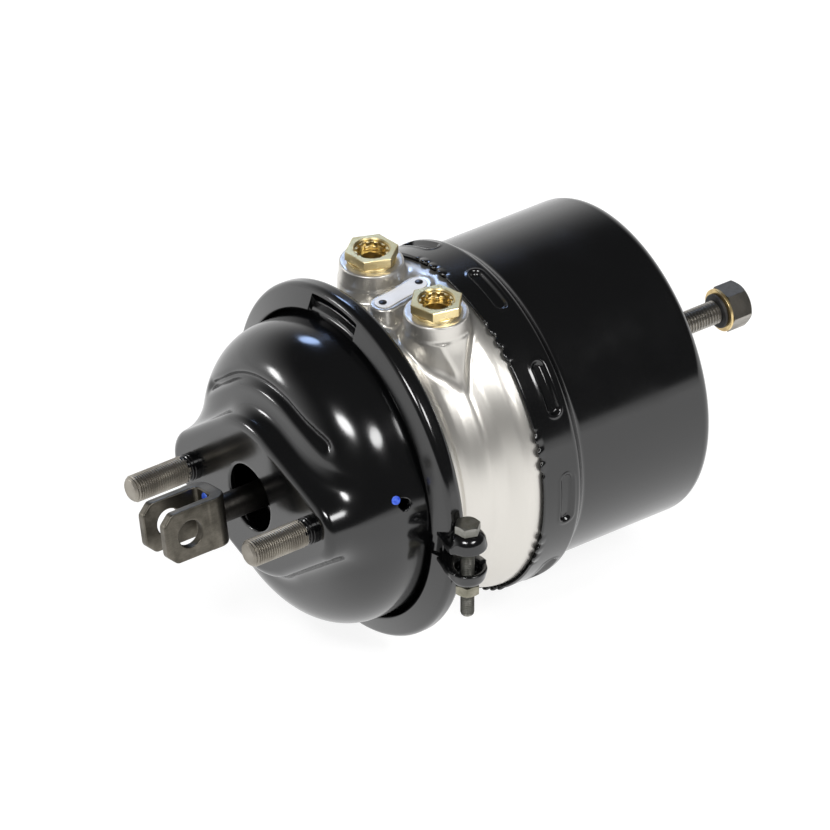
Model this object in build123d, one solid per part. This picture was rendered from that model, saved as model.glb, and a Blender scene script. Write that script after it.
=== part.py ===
"""Spring brake chamber: a diaphragm service chamber clamped to a spring parking chamber.

Millimetres. The origin is the centre of the mounting pad's face, on the chamber's axis.
+X runs along that axis towards the release bolt, so the push rod comes out towards -X.
+Z runs up through the air ports, and the clamp bolt stands on the -Y side.
"""

import math
import os

from build123d import *

# ---------------------------------------------------------------- clearances
FACE_GAP = 0.3        # between faces of bodies that move past each other
SEAT_GAP = 0.05       # between parts that seat on each other
RUN_GAP = 0.05        # radial, between a shaft or seal and the bore it runs in
BOLT_GAP = 0.3        # radial, round a fastener in a plain hole
SPRING_GAP = 0.1      # radial, round the return spring's big end
PLATE_SPARE = 0.8     # left between pressure plate and dome at full stroke
HUB_SPARE = 2.0       # left between piston hub and web at full stroke
PISTON_SPARE = 4.0    # between piston and cylinder end at rest
BOLT_SPARE = 0.4      # left between seal and bush with the bolt wound right in
EPS = 0.5             # how far a cutting tool runs past the face it cuts

# ---------------------------------------------------------------- stroke
STROKE = 64.0         # push rod stroke, and the travel of piston and release bolt

# ---------------------------------------------------------------- mounting studs
STUD_SPACING = 120.65
STUD_CLOCK = -11.5    # tilt of the stud line about +X, from +Y
STUD_R = 8.0
STUD_NECK_OUT = 0.25  # how much thicker the neck is that sits in the pad's hole
STUD_OUT = 41.4       # how far a stud stands out of the pad
STUD_HEAD_R = 11.0
STUD_HEAD_T = 5.0
STUD_TIP = 1.6        # chamfer

# ---------------------------------------------------------------- front housing
STEEL_T = 3.2         # wall of the pressed steel parts
DOME_X = 13.0         # front of the dome, behind the pad's face
DOME_IN = 2.8         # how far the dome's side lies inside the clamp ring's lips
DOME_ROUND = 34.0
PAD_MID_R = 48.0      # the pad's outline is the hull of a middle disc and two lobes
PAD_LOBE_R = 19.5
PAD_DRAFT = 9.0      # degrees
PAD_FOOT = 20.0       # how far the pad's walls run on inside the dome
PAD_EDGE = 5.0
ROD_HOLE_R = 20.0
DRAIN_R = 3.3
DRAIN_FRONT = 22.8    # drain hole, in front of the clamped joint
DRAIN_ANGLE = -73.0   # from +Z, positive towards +Y

# ---------------------------------------------------------------- clamped joint
JOINT_FRONT = 12.2    # middle of the clamped rims, in front of the pressure plate
BEAD_T = 3.0
CLAMP_R = 106.2       # every other distance from the axis on both chambers follows it
CLAMP_DEPTH = 13.9    # from the ring's top down to its lips
CLAMP_AIR = 5.0       # between the rims and the ring's inner face
CLAMP_LIP_HALF = 9.8  # half the ring's width at its lips
CLAMP_TOP_HALF = 4.6
CLAMP_WALL = 3.2
CLAMP_ROUND = 3.5
CLAMP_GAP_Z = -2.0    # middle of the split, on the -Y side
NOTCH_FROM, NOTCH_TO = -9.5, 16.5
NOTCH_TOP = 3.6       # what the notch leaves of the ring's front flank
EAR_GAP = 13.8
EAR_T = 3.2
EAR_HALF = 10.5
CUP_H = 10.3
CUP_TOP_R = 7.8

# ---------------------------------------------------------------- clamp bolt
CLAMP_BOLT_OUT = 8.3  # outside the clamp ring
CLAMP_BOLT_R = 4.0
CLAMP_BOLT_LEN = 56.5
CLAMP_BOLT_AF = 13.0
CLAMP_HEAD_H = 5.5
CLAMP_HEAD_TURN = 12.0
CLAMP_NUT_H = 6.5
CLAMP_NUT_TURN = 24.0

# ---------------------------------------------------------------- intermediate flange
WAIST_IN = 2.5        # inside the dome's side
WAIST_BACK = 17.2     # front end of the waist, behind the clamped joint
WAIST_PAST = 6.0      # rear end of the waist, behind the ports
WEB_BACK = 16.0       # web, behind the pressure plate
WEB_T = 17.0
RIM_BACK = 11.5       # edge of the flared rim, behind the web
TAIL_LEN = 22.0       # length of the tail inside the skirt
TAIL_GAP = 5.0        # radial, round the piston's body
CAVITY_IN = 4.5       # how far the front cavity lies inside the dome's side
WEB_FACE_IN = 19.0    # web's flat face, inside the front cavity
GROOVE_DEPTH = 2.7    # groove that the dimples stand in
RING_WIRE_R = 1.6     # O-ring between flange and skirt

# ---------------------------------------------------------------- air ports
PORT_BACK = 9.0       # behind the web's front face
PORT_Y = 31.5         # each side of the middle plane
BOSS_R = 18.4
BOSS_H = 16.0         # above the waist
PORT_HEX_AF = 27.0
PORT_HEX_H = 5.8
PORT_HEX_TURNS = (18.0, 9.0)
PORT_COLLAR_R = 14.2
PORT_COLLAR_H = 1.8
PORT_BORE_R = 9.8
PORT_MOUTH_H = 7.0
PORT_THREAD_R = 12.0
PORT_DEPTH = 16.0
PORT_STEP_R = 6.5
COLLET_R = 8.2
COLLET_H = 3.4
COLLET_OUT = 0.4      # depth of the collet's groove in the bore
COLLET_SLOTS = 12
COLLET_SLOT_W = 2.0
PASSAGE_R = 4.0
PASSAGE_IN = 2.0      # air drillings, inside the web's flat face

# ---------------------------------------------------------------- nameplate
LABEL_LEN = 38.0
LABEL_WIDTH = 11.0
LABEL_T = 0.8
LABEL_TURN = 10.5
LABEL_FRONT = 2.0     # in front of the ports
LABEL_DROP = 5.0      # below the tops of the port bosses
LABEL_EDGE = 2.5
RIVET_SPACING = 29.0
RIVET_R = 1.6
RIVET_DEPTH = 3.0
RIVET_HEAD_R = 2.4
RIVET_HEAD_H = 0.6

# ---------------------------------------------------------------- spring cylinder
SHELL_OUT = 5.7       # outside the dome's side
SHELL_T = 3.0
SKIRT_BACK = 5.5      # behind the edge of the flange's flared rim
SKIRT_OUT = 6.3       # outside the shell
SKIRT_LEN = 24.5
SHOULDER_LEN = 6.5
REAR_ROUND = 6.0
DIMPLES = 9
DIMPLE_FIRST = 24.7
DIMPLE_PITCH = 38.6
DIMPLE_BACK = 16.0    # behind the skirt's edge
DIMPLE_LEN = 31.0
DIMPLE_WIDTH = 6.4
DIMPLE_DEPTH = 2.6
CRIMP_R = 2.3
CRIMP_ANGLE = 3.2

# ---------------------------------------------------------------- spring piston
PISTON_RIM = 18.0     # length of the rim that runs in the cylinder
PISTON_DEEP = 43.0    # from the web's face to the rim
PISTON_WEB_T = 6.0
PISTON_STEP = 12.2    # how far the body lies inside the bore
PISTON_WALL = 4.0
PISTON_HUB_WALL = 7.0
PISTON_HUB_OUT = 6.0  # how far the hub stands in front of the web
SEAL_W = 5.0
SEAL_DEPTH = 3.4
PISTON_FIT = 0.35

# ---------------------------------------------------------------- piston tube
TUBE_R = 20.0
TUBE_WALL = 4.5
TUBE_PAST = 10.0      # how far the tube runs past the piston's web face
SHOULDER_PAST = 2.0
SHOULDER_GAP = 1.5    # radial, round the release bolt
CAP_OUT = 4.0
CAP_T = 5.0
CAP_SPIGOT = 6.0
BUSH_WALL = 2.6
BUSH_LEN = 9.0

# ---------------------------------------------------------------- diaphragm and push rod
DIAPHRAGM_T = 3.0
PRESS_T = 3.5
PRESS_IN = 25.0       # plate's edge, inside the front cavity
PRESS_EDGE = 1.2
KNEE_OUT = 4.0        # how far the diaphragm's knee stands outside the plate
ROD_R = 8.0
ROD_HUB_R = 15.0
ROD_HUB_T = 5.0
ROD_END_OUT = 2.0     # how far the rod's end stands inside the clevis

# ---------------------------------------------------------------- clevis
CLEVIS_REAR = -21.0
CLEVIS_LEN = 44.0
EAR_PLATE_T = 6.0
CLEVIS_BASE_T = 8.0
CLEVIS_GAP = 16.2
CLEVIS_H = 30.5
CLEVIS_CORNER = 6.0
CLEVIS_BEND = 6.0
PIN_R = 8.0
PIN_FROM_TIP = 16.5

# ---------------------------------------------------------------- springs
RETURN_WIRE_R = 2.4
RETURN_SMALL_R = 40.0
RETURN_TURNS = 4.0
POWER_WIRE_R = 6.4
POWER_GAP = 7.6       # radial, inside the piston's body
POWER_TURNS = 3.3

# ---------------------------------------------------------------- release bolt
BOLT_R = 7.0
BOLT_HEAD_R = 13.0
BOLT_HEAD_T = 6.0
THRUST_T = 3.4
BUSH_OUT = 7.0
BUSH_R = 15.8
BUSH_FLANGE_OUT = 5.2
BUSH_FLANGE_T = 5.0
NUT_AF = 24.0
NUT_H = 14.0
WASHER_R = 12.2
WASHER_T = 1.8
BOLT_SEAL_R = 10.4
BOLT_SEAL_T = 2.8
ROLL_PIN_R = 2.0
ROLL_PIN_BORE = 1.2
ROLL_PIN_SHORT = 0.6  # how much shorter the pin is than the nut is wide

# ---------------------------------------------------------------- stations along the axis
CLEVIS_TIP = CLEVIS_REAR - CLEVIS_LEN
DOME_IN_X = DOME_X + STEEL_T
PLATE_X = DOME_IN_X + PLATE_SPARE + STROKE       # front face of the pressure plate at rest
DIAPHRAGM_X = PLATE_X + PRESS_T + SEAT_GAP
CAP_X = DIAPHRAGM_X + DIAPHRAGM_T + FACE_GAP
JOINT_X = PLATE_X - JOINT_FRONT                  # middle of the clamped rims
DRAIN_X = JOINT_X - DRAIN_FRONT
WEB_FRONT = PLATE_X + WEB_BACK
WEB_REAR = WEB_FRONT + WEB_T
PORT_X = WEB_FRONT + PORT_BACK
LABEL_X = PORT_X - LABEL_FRONT
WAIST_FROM, WAIST_TO = JOINT_X + WAIST_BACK, PORT_X + WAIST_PAST
RIM_X = WEB_REAR + RIM_BACK
SKIRT_X = RIM_X + SKIRT_BACK
TAIL_END = SKIRT_X + TAIL_LEN
SKIRT_END = SKIRT_X + SKIRT_LEN
SHELL_X = SKIRT_END + SHOULDER_LEN
DIMPLE_X = SKIRT_X + DIMPLE_BACK
DIMPLE_GROOVE_X = DIMPLE_X - DIMPLE_WIDTH / 2 - 1.5
RING_GROOVE_X = (RIM_X + DIMPLE_GROOVE_X) / 2 + 2
PISTON_HUB_FRONT = WEB_REAR + HUB_SPARE + STROKE
PISTON_WEB = PISTON_HUB_FRONT + PISTON_HUB_OUT
SPRING_SEAT_X = PISTON_WEB + PISTON_WEB_T
RIM_FRONT = PISTON_WEB + PISTON_DEEP
RIM_REAR = RIM_FRONT + PISTON_RIM
REAR_IN_X = RIM_REAR + PISTON_SPARE
REAR_X = REAR_IN_X + SHELL_T
TUBE_REAR = PISTON_WEB + TUBE_PAST
SHOULDER_X = PISTON_WEB + SHOULDER_PAST
THRUST_X = SHOULDER_X - SEAT_GAP - THRUST_T
HEAD_X = THRUST_X - SEAT_GAP - BOLT_HEAD_T
BOLT_SEAL_X = REAR_X + BUSH_OUT + BOLT_SPARE + STROKE
WASHER_X = BOLT_SEAL_X + BOLT_SEAL_T
NUT_X = WASHER_X + WASHER_T

# ---------------------------------------------------------------- distances from the axis
CLAMP_LIP_R = CLAMP_R - CLAMP_DEPTH
RIM_R = CLAMP_R - CLAMP_WALL - CLAMP_AIR
NOTCH_R = CLAMP_R - NOTCH_TOP
CLAMP_BOLT_Y = -CLAMP_R - CLAMP_BOLT_OUT
CLAMP_SLOPE = (CLAMP_LIP_HALF - CLAMP_TOP_HALF) / CLAMP_DEPTH
FLANK_WALL = CLAMP_WALL * math.hypot(1, CLAMP_SLOPE)
DOME_R = CLAMP_LIP_R - DOME_IN
FRONT_CAVITY_R = DOME_R - CAVITY_IN
WEB_FACE_R = FRONT_CAVITY_R - WEB_FACE_IN
PRESS_R = FRONT_CAVITY_R - PRESS_IN
PASSAGE_Z = WEB_FACE_R - PASSAGE_IN
WAIST_R = DOME_R - WAIST_IN
BOSS_TOP = WAIST_R + BOSS_H
LABEL_Z = BOSS_TOP - LABEL_DROP
SHELL_R = DOME_R + SHELL_OUT
BORE_R = SHELL_R - SHELL_T
SKIRT_R = SHELL_R + SKIRT_OUT
SKIRT_BORE_R = SKIRT_R - SHELL_T
RIM_OUT_R = SKIRT_BORE_R - SEAT_GAP
PISTON_BODY_R = BORE_R - PISTON_STEP
TAIL_BORE_R = PISTON_BODY_R + TAIL_GAP
TUBE_BORE_R = TUBE_R - TUBE_WALL
PISTON_HUB_R = TUBE_R + PISTON_HUB_WALL
CAP_R = TUBE_R + CAP_OUT
SHOULDER_BORE_R = BOLT_R + SHOULDER_GAP
BUSH_FLANGE_R = BUSH_R + BUSH_FLANGE_OUT
RETURN_BIG_R = DOME_R - DOME_ROUND - RETURN_WIRE_R - SPRING_GAP
POWER_R = PISTON_BODY_R - PISTON_WALL - POWER_GAP - POWER_WIRE_R


# ================================================================ helpers
def turned(points):
    """Solid of revolution about the X axis from (x, radius) corners."""
    return revolve(make_face(Polyline(*points, close=True)), Axis.X, 360)


def turned_round(points, radii):
    """As turned(), with one fillet radius for each corner."""
    return revolve(make_face(FilletPolyline(*points, radius=radii, close=True)), Axis.X, 360)


def ring(x0, x1, r_in, r_out):
    """Plain ring or disc between two stations on the X axis."""
    return turned([(x0, r_in), (x1, r_in), (x1, r_out), (x0, r_out)])


def torus_ring(x, r, wire_r):
    """O-ring centred on the X axis."""
    return revolve(Pos(x, r, 0) * Circle(wire_r), Axis.X, 360)


def post(x, y, z0, z1, r):
    """Upright cylinder."""
    return Pos(x, y, (z0 + z1) / 2) * Cylinder(r, z1 - z0)


def hex_x(x0, length, across):
    """Hexagon bar along +X with its corners turned off at the outer end."""
    corner = across / math.sqrt(3)
    bar = extrude(Plane.YZ.offset(x0) * RegularPolygon(across / 2, 6, major_radius=False), length)
    ease = corner - across / 2
    return bar & turned([(x0, 0), (x0 + length, 0), (x0 + length, corner - ease * 0.9),
                         (x0 + length - ease * 0.55, corner), (x0, corner)])


def hex_z(x, y, z0, length, across, turn=0.0):
    """Upright hexagon bar with both ends' corners turned off."""
    corner = across / math.sqrt(3)
    ease = (corner - across / 2) * 0.9
    bar = extrude(Plane.XY * RegularPolygon(across / 2, 6, major_radius=False), length)
    cap = revolve(make_face(Plane.XZ * Polyline(
        (0, 0), (corner - ease, 0), (corner, ease * 0.6), (corner, length - ease * 0.6),
        (corner - ease, length), (0, length), close=True)), Axis.Z, 360)
    return Pos(x, y, z0) * Rot(0, 0, turn) * (bar & cap)


def stud_frame():
    """Location whose Y axis is the line through the two studs."""
    return Rot(STUD_CLOCK, 0, 0)


def at_angle(angle):
    """Location turned about +X, so that local +Z points at this angle from +Z to +Y."""
    return Rot(-angle, 0, 0)


# ================================================================ service chamber
def pad_outline(grow):
    """Outline of the mounting pad on the YZ plane: a middle disc and two lobes, hulled."""
    half = STUD_SPACING / 2
    mid = Circle(PAD_MID_R + grow).edges()
    lobes = [Pos(side * half, 0) * Circle(PAD_LOBE_R + grow) for side in (-1, 1)]
    return make_hull([*mid, *lobes[0].edges(), *lobes[1].edges()])


def pad_block(x0, grow, edge):
    """The pad's solid, from its rounded face at x0 down into the dome."""
    depth = DOME_X + PAD_FOOT - x0
    block = extrude(Plane.YZ.offset(x0) * pad_outline(grow), depth, taper=-PAD_DRAFT)
    block = fillet(block.faces().sort_by(Axis.X)[0].edges(), edge)
    return stud_frame() * block


def dome_block(inset):
    """Turned solid of the dome, shrunk by inset."""
    x0, r = DOME_X + inset, DOME_R - inset
    end = JOINT_X
    return turned_round([(x0, 0), (x0, r), (end, r), (end, 0)], [0, DOME_ROUND - inset, 0, 0])


def rim_half(r):
    """Half width of the clamped rims at radius r, clear of the clamp ring's flanks."""
    return CLAMP_LIP_HALF - FLANK_WALL - SEAT_GAP * 4 - CLAMP_SLOPE * (r - CLAMP_LIP_R)


def rim_profile(side):
    """Wedge-shaped rim on one side of the diaphragm's bead."""
    inner = JOINT_X + side * BEAD_T / 2
    low = CLAMP_LIP_R
    return turned([(inner, DOME_R - STEEL_T), (inner, RIM_R), (JOINT_X + side * rim_half(RIM_R), RIM_R),
                   (JOINT_X + side * rim_half(low), low), (JOINT_X + side * rim_half(low), DOME_R - STEEL_T)])


def front_housing():
    """Pressed steel bowl with its raised stud pad, rod hole, drain hole and rim."""
    outer = dome_block(0) + pad_block(0, 0, PAD_EDGE)
    inner = dome_block(STEEL_T) + pad_block(STEEL_T, -STEEL_T, PAD_EDGE - STEEL_T)
    end = JOINT_X - BEAD_T / 2
    shell = outer - inner - ring(end, JOINT_X + EPS, 0, DOME_R + EPS)
    shell += rim_profile(-1)
    shell -= ring(-EPS, STEEL_T + EPS, 0, ROD_HOLE_R)
    for side in (-1, 1):
        hole = stud_frame() * Pos(0, side * STUD_SPACING / 2, 0) * ring(-EPS, STEEL_T + EPS, 0, STUD_R + STUD_NECK_OUT + SEAT_GAP)
        shell -= hole
    drain = at_angle(DRAIN_ANGLE) * post(DRAIN_X, 0, DOME_R - STEEL_T * 3, DOME_R + EPS, DRAIN_R)
    return shell - drain


def mounting_studs():
    """Two studs, each with a thicker neck in the pad's hole and its head behind the pad."""
    studs = []
    neck = STUD_R + STUD_NECK_OUT
    for side in (-1, 1):
        shank = turned([(-STUD_OUT, 0), (-STUD_OUT, STUD_R - STUD_TIP), (-STUD_OUT + STUD_TIP, STUD_R),
                        (0, STUD_R), (0, neck), (STEEL_T, neck), (STEEL_T, STUD_HEAD_R),
                        (STEEL_T + STUD_HEAD_T, STUD_HEAD_R),
                        (STEEL_T + STUD_HEAD_T, 0)])
        studs.append(stud_frame() * Pos(0, side * STUD_SPACING / 2, 0) * shank)
    return Compound(studs)


def diaphragm():
    """Moulded rubber diaphragm: bead, rolled wall and flat middle."""
    bead0, bead1 = JOINT_X - BEAD_T / 2, JOINT_X + BEAD_T / 2
    face0, face1 = DIAPHRAGM_X, DIAPHRAGM_X + DIAPHRAGM_T
    knee = PRESS_R + KNEE_OUT
    return turned([(bead0, DOME_R - STEEL_T), (bead0, RIM_R - EPS), (bead1, RIM_R - EPS),
                   (bead1, FRONT_CAVITY_R - DIAPHRAGM_T * 0.6), (face1, knee + DIAPHRAGM_T),
                   (face1, 0), (face0, 0), (face0, knee),
                   (bead0, FRONT_CAVITY_R - DIAPHRAGM_T * 2)])


def pressure_plate():
    """Flat round plate that the diaphragm pushes, with a hub for the rod."""
    x0, x1 = PLATE_X, PLATE_X + PRESS_T
    return turned([(x0, ROD_R), (x0 - ROD_HUB_T, ROD_R), (x0 - ROD_HUB_T, ROD_HUB_R), (x0, ROD_HUB_R + ROD_HUB_T),
                   (x0, PRESS_R - PRESS_EDGE), (x0 + PRESS_EDGE, PRESS_R), (x1 - PRESS_EDGE, PRESS_R),
                   (x1, PRESS_R - PRESS_EDGE), (x1, ROD_R)])


def push_rod():
    """Rod from the pressure plate to the clevis."""
    end = CLEVIS_REAR - CLEVIS_BASE_T - ROD_END_OUT
    return turned([(end, 0), (end, ROD_R - 1), (end + 1, ROD_R), (PLATE_X + PRESS_T, ROD_R), (PLATE_X + PRESS_T, 0)])


def clevis():
    """Fork bent from thick strip, with the pin hole across both ears."""
    half = CLEVIS_GAP / 2 + EAR_PLATE_T
    bar = Pos((CLEVIS_TIP + CLEVIS_REAR) / 2, 0, 0) * Box(CLEVIS_LEN, half * 2, CLEVIS_H)
    bar = fillet(bar.edges().filter_by(Axis.Z).group_by(Axis.X)[-1], CLEVIS_BEND + EAR_PLATE_T / 2)
    slot_len = CLEVIS_LEN - CLEVIS_BASE_T
    slot = Pos(CLEVIS_TIP + slot_len / 2 - EPS, 0, 0) * Box(slot_len + EPS * 2, CLEVIS_GAP, CLEVIS_H + EPS * 2)
    slot = fillet(slot.edges().filter_by(Axis.Z).group_by(Axis.X)[-1], CLEVIS_BEND / 2)
    body = bar - slot
    tips = body.edges().filter_by(Axis.Y).group_by(Axis.X)[0]
    body = chamfer(tips, CLEVIS_CORNER)
    pin_x = CLEVIS_TIP + PIN_FROM_TIP
    body -= Pos(pin_x, 0, 0) * Rot(90, 0, 0) * Cylinder(PIN_R, half * 2 + EPS)
    body -= ring(CLEVIS_REAR - CLEVIS_BASE_T - CLEVIS_BEND, CLEVIS_REAR + EPS, 0, ROD_R + SEAT_GAP)
    return stud_frame() * body


def coil(x0, x1, r0, r1, wire_r, turns):
    """Open coil about the X axis, its wire's ends level with x0 and x1."""
    height = (x1 - x0) - 2 * wire_r
    lean = math.degrees(math.atan2(r1 - r0, height))
    path = Helix(pitch=height / turns, height=height, radius=r0, cone_angle=lean)
    wire = sweep(Plane(origin=path @ 0, z_dir=path % 0) * Circle(wire_r), path=path, is_frenet=True)
    return Pos(x0 + wire_r, 0, 0) * Rot(0, 90, 0) * wire


def return_spring():
    """Conical spring that pushes the pressure plate back."""
    return coil(DOME_IN_X + SEAT_GAP, PLATE_X - SEAT_GAP, RETURN_BIG_R, RETURN_SMALL_R, RETURN_WIRE_R, RETURN_TURNS)


# ================================================================ clamp
def ear(side):
    """One end of the clamp ring: a tab with a cup that the bolt pulls on."""
    z0 = CLAMP_GAP_Z + side * EAR_GAP / 2
    tab = Pos(JOINT_X, (CLAMP_BOLT_Y - CLAMP_LIP_R) / 2, z0 + side * EAR_T / 2) * Box(
        EAR_HALF * 2, -CLAMP_LIP_R - CLAMP_BOLT_Y, EAR_T)
    profile = [(CLAMP_BOLT_R + BOLT_GAP, CUP_H - EAR_T), (CUP_TOP_R - EAR_T / 2, CUP_H - EAR_T),
               (EAR_HALF - EAR_T, 0), (EAR_HALF, 0), (EAR_HALF, EAR_T), (CUP_TOP_R, CUP_H),
               (CLAMP_BOLT_R + BOLT_GAP, CUP_H)]
    cup = revolve(make_face(Plane.XZ * Polyline(*profile, close=True)), Axis.Z, 360)
    well = revolve(make_face(Plane.XZ * Polyline((0, -EPS), (EAR_HALF - EAR_T, -EPS), (EAR_HALF - EAR_T, 0),
                                                 (CUP_TOP_R - EAR_T / 2, CUP_H - EAR_T),
                                                 (0, CUP_H - EAR_T), close=True)), Axis.Z, 360)
    place = Pos(JOINT_X, CLAMP_BOLT_Y, z0)
    if side < 0:
        place = place * Rot(180, 0, 0)
    return tab - place * well + place * cup


def clamp_ring():
    """Split V-section ring over both rims, notched at its top front edge."""
    drop = 1.0
    face = make_face(FilletPolyline(
        (JOINT_X - CLAMP_LIP_HALF, CLAMP_LIP_R), (JOINT_X - CLAMP_TOP_HALF, CLAMP_R),
        (JOINT_X + CLAMP_TOP_HALF, CLAMP_R), (JOINT_X + CLAMP_LIP_HALF, CLAMP_LIP_R),
        radius=[0, CLAMP_ROUND, CLAMP_ROUND, 0], close=True))
    top = CLAMP_R - CLAMP_WALL
    low_half = CLAMP_LIP_HALF - FLANK_WALL + CLAMP_SLOPE * drop
    top_half = CLAMP_LIP_HALF - FLANK_WALL - CLAMP_SLOPE * (top - CLAMP_LIP_R)
    void = make_face(Polyline((JOINT_X - low_half, CLAMP_LIP_R - drop), (JOINT_X - top_half, top),
                              (JOINT_X + top_half, top), (JOINT_X + low_half, CLAMP_LIP_R - drop), close=True))
    body = revolve(face - void, Axis.X, 360)
    split = Pos(JOINT_X, -CLAMP_R, CLAMP_GAP_Z) * Box(CLAMP_LIP_HALF * 4, CLAMP_R, EAR_GAP)
    body -= split
    span = NOTCH_TO - NOTCH_FROM
    tool = revolve(make_face(Polyline((JOINT_X - CLAMP_LIP_HALF - EPS, CLAMP_LIP_R - drop),
                                      (JOINT_X - CLAMP_LIP_HALF - EPS, NOTCH_R), (JOINT_X, NOTCH_R),
                                      (JOINT_X, CLAMP_LIP_R - drop), close=True)), Axis.X, span)
    body -= Rot(90 - NOTCH_TO, 0, 0) * tool
    keep_out = ring(JOINT_X - CLAMP_LIP_HALF * 2, JOINT_X + CLAMP_LIP_HALF * 2, 0, top + EAR_T / 2)
    for side in (-1, 1):
        body += ear(side) - keep_out
    return body


def clamp_bolt():
    """Hexagon bolt through both ears."""
    top = CLAMP_GAP_Z + EAR_GAP / 2 + CUP_H + SEAT_GAP
    shank = post(JOINT_X, CLAMP_BOLT_Y, top - CLAMP_BOLT_LEN, top + EPS, CLAMP_BOLT_R)
    shank = chamfer(shank.edges().group_by(Axis.Z)[0], CLAMP_BOLT_R * 0.2)
    return shank + hex_z(JOINT_X, CLAMP_BOLT_Y, top, CLAMP_HEAD_H, CLAMP_BOLT_AF, CLAMP_HEAD_TURN)


def clamp_nut():
    """Nut under the lower ear."""
    top = CLAMP_GAP_Z - EAR_GAP / 2 - CUP_H - SEAT_GAP
    nut = hex_z(JOINT_X, CLAMP_BOLT_Y, top - CLAMP_NUT_H, CLAMP_NUT_H, CLAMP_BOLT_AF, CLAMP_NUT_TURN)
    return nut - post(JOINT_X, CLAMP_BOLT_Y, top - CLAMP_NUT_H - EPS, top + EPS, CLAMP_BOLT_R + SEAT_GAP)


# ================================================================ intermediate flange
def flange_outside():
    """Outer turned form: rim, waist, flared rim and the tail inside the skirt."""
    low = CLAMP_LIP_R
    x_seat = JOINT_X + BEAD_T / 2
    flank = JOINT_X + rim_half(low)
    return turned_round(
        [(x_seat, 0), (x_seat, RIM_R), (JOINT_X + rim_half(RIM_R), RIM_R), (flank, low),
         (flank + 2, low - 2.5), (WAIST_FROM, WAIST_R), (WAIST_TO, WAIST_R), (RIM_X, RIM_OUT_R),
         (TAIL_END, RIM_OUT_R), (TAIL_END, 0)],
        [0, 0, 0, 0, 3, 12, 14, 5, 0, 0])


def flange_cavities():
    """Front bowl that the diaphragm rests in, rear bowl for the piston, and the tube's bore."""
    x_seat = JOINT_X + BEAD_T / 2
    front = turned([(x_seat - EPS, 0), (x_seat - EPS, FRONT_CAVITY_R), (x_seat + 3, FRONT_CAVITY_R),
                    (WEB_FRONT, WEB_FACE_R), (WEB_FRONT, 0)])
    rear = ring(WEB_REAR, TAIL_END + EPS, 0, TAIL_BORE_R)
    bore = ring(WEB_FRONT - EPS, WEB_REAR + EPS, 0, TUBE_R + BUSH_WALL)
    return front + rear + bore


def port_passage(side):
    """Air drilling from a port down into its own chamber."""
    y = side * PORT_Y
    down = post(PORT_X, y, PASSAGE_Z - PASSAGE_R, BOSS_TOP, PASSAGE_R)
    reach = WEB_REAR + EPS if side > 0 else WEB_FRONT - EPS
    x0, x1 = sorted((PORT_X, reach))
    return down + Pos(0, y, PASSAGE_Z) * ring(x0, x1, 0, PASSAGE_R)


def port_socket(side):
    """Threaded socket for a port fitting."""
    y = side * PORT_Y
    return post(PORT_X, y, BOSS_TOP - PORT_DEPTH, BOSS_TOP + EPS, PORT_THREAD_R + SEAT_GAP)


def nameplate_outline(grow):
    """Oval outline on the plate's seat."""
    oval = SlotOverall(LABEL_LEN + 2 * grow, LABEL_WIDTH + 2 * grow)
    return Pos(LABEL_X, 0, 0) * Rot(0, 0, LABEL_TURN) * oval


def intermediate_flange():
    """Cast aluminium body between the two chambers, with both port bosses."""
    body = flange_outside()
    for side in (-1, 1):
        body += post(PORT_X, side * PORT_Y, WEB_FACE_R, BOSS_TOP, BOSS_R)
    body += extrude(Pos(0, 0, WEB_FACE_R) * nameplate_outline(LABEL_EDGE), LABEL_Z - WEB_FACE_R)
    body -= flange_cavities()
    for side in (-1, 1):
        body -= port_socket(side) + port_passage(side)
    body -= ring(DIMPLE_GROOVE_X, 2 * DIMPLE_X - DIMPLE_GROOVE_X, RIM_OUT_R - GROOVE_DEPTH, RIM_OUT_R + EPS)
    body -= ring(RING_GROOVE_X - RING_WIRE_R - FACE_GAP, RING_GROOVE_X + RING_WIRE_R + FACE_GAP,
                 RIM_OUT_R - 2 * RING_WIRE_R, RIM_OUT_R + EPS)
    for side in (-1, 1):
        body -= rivet_place(side) * Cylinder(RIVET_R, RIVET_DEPTH * 2)
    return body


def cylinder_seal():
    """O-ring between flange and skirt."""
    return torus_ring(RING_GROOVE_X, RIM_OUT_R - RING_WIRE_R, RING_WIRE_R)


def port_fitting(side):
    """Brass port insert: hexagon, collar and threaded body with a stepped bore."""
    y = side * PORT_Y
    z0 = BOSS_TOP
    body = post(PORT_X, y, z0 - PORT_DEPTH + SEAT_GAP, z0 + SEAT_GAP, PORT_THREAD_R)
    body += post(PORT_X, y, z0 + SEAT_GAP, z0 + PORT_COLLAR_H, PORT_COLLAR_R)
    body += hex_z(PORT_X, y, z0 + PORT_COLLAR_H, PORT_HEX_H, PORT_HEX_AF, PORT_HEX_TURNS[side > 0])
    top = z0 + PORT_COLLAR_H + PORT_HEX_H
    floor = top - PORT_MOUTH_H
    body -= post(PORT_X, y, floor, top + EPS, PORT_BORE_R)
    body -= post(PORT_X, y, floor, floor + COLLET_H + 2 * SEAT_GAP, PORT_BORE_R + COLLET_OUT)
    return body - post(PORT_X, y, z0 - PORT_DEPTH - EPS, top, PORT_STEP_R)


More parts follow.
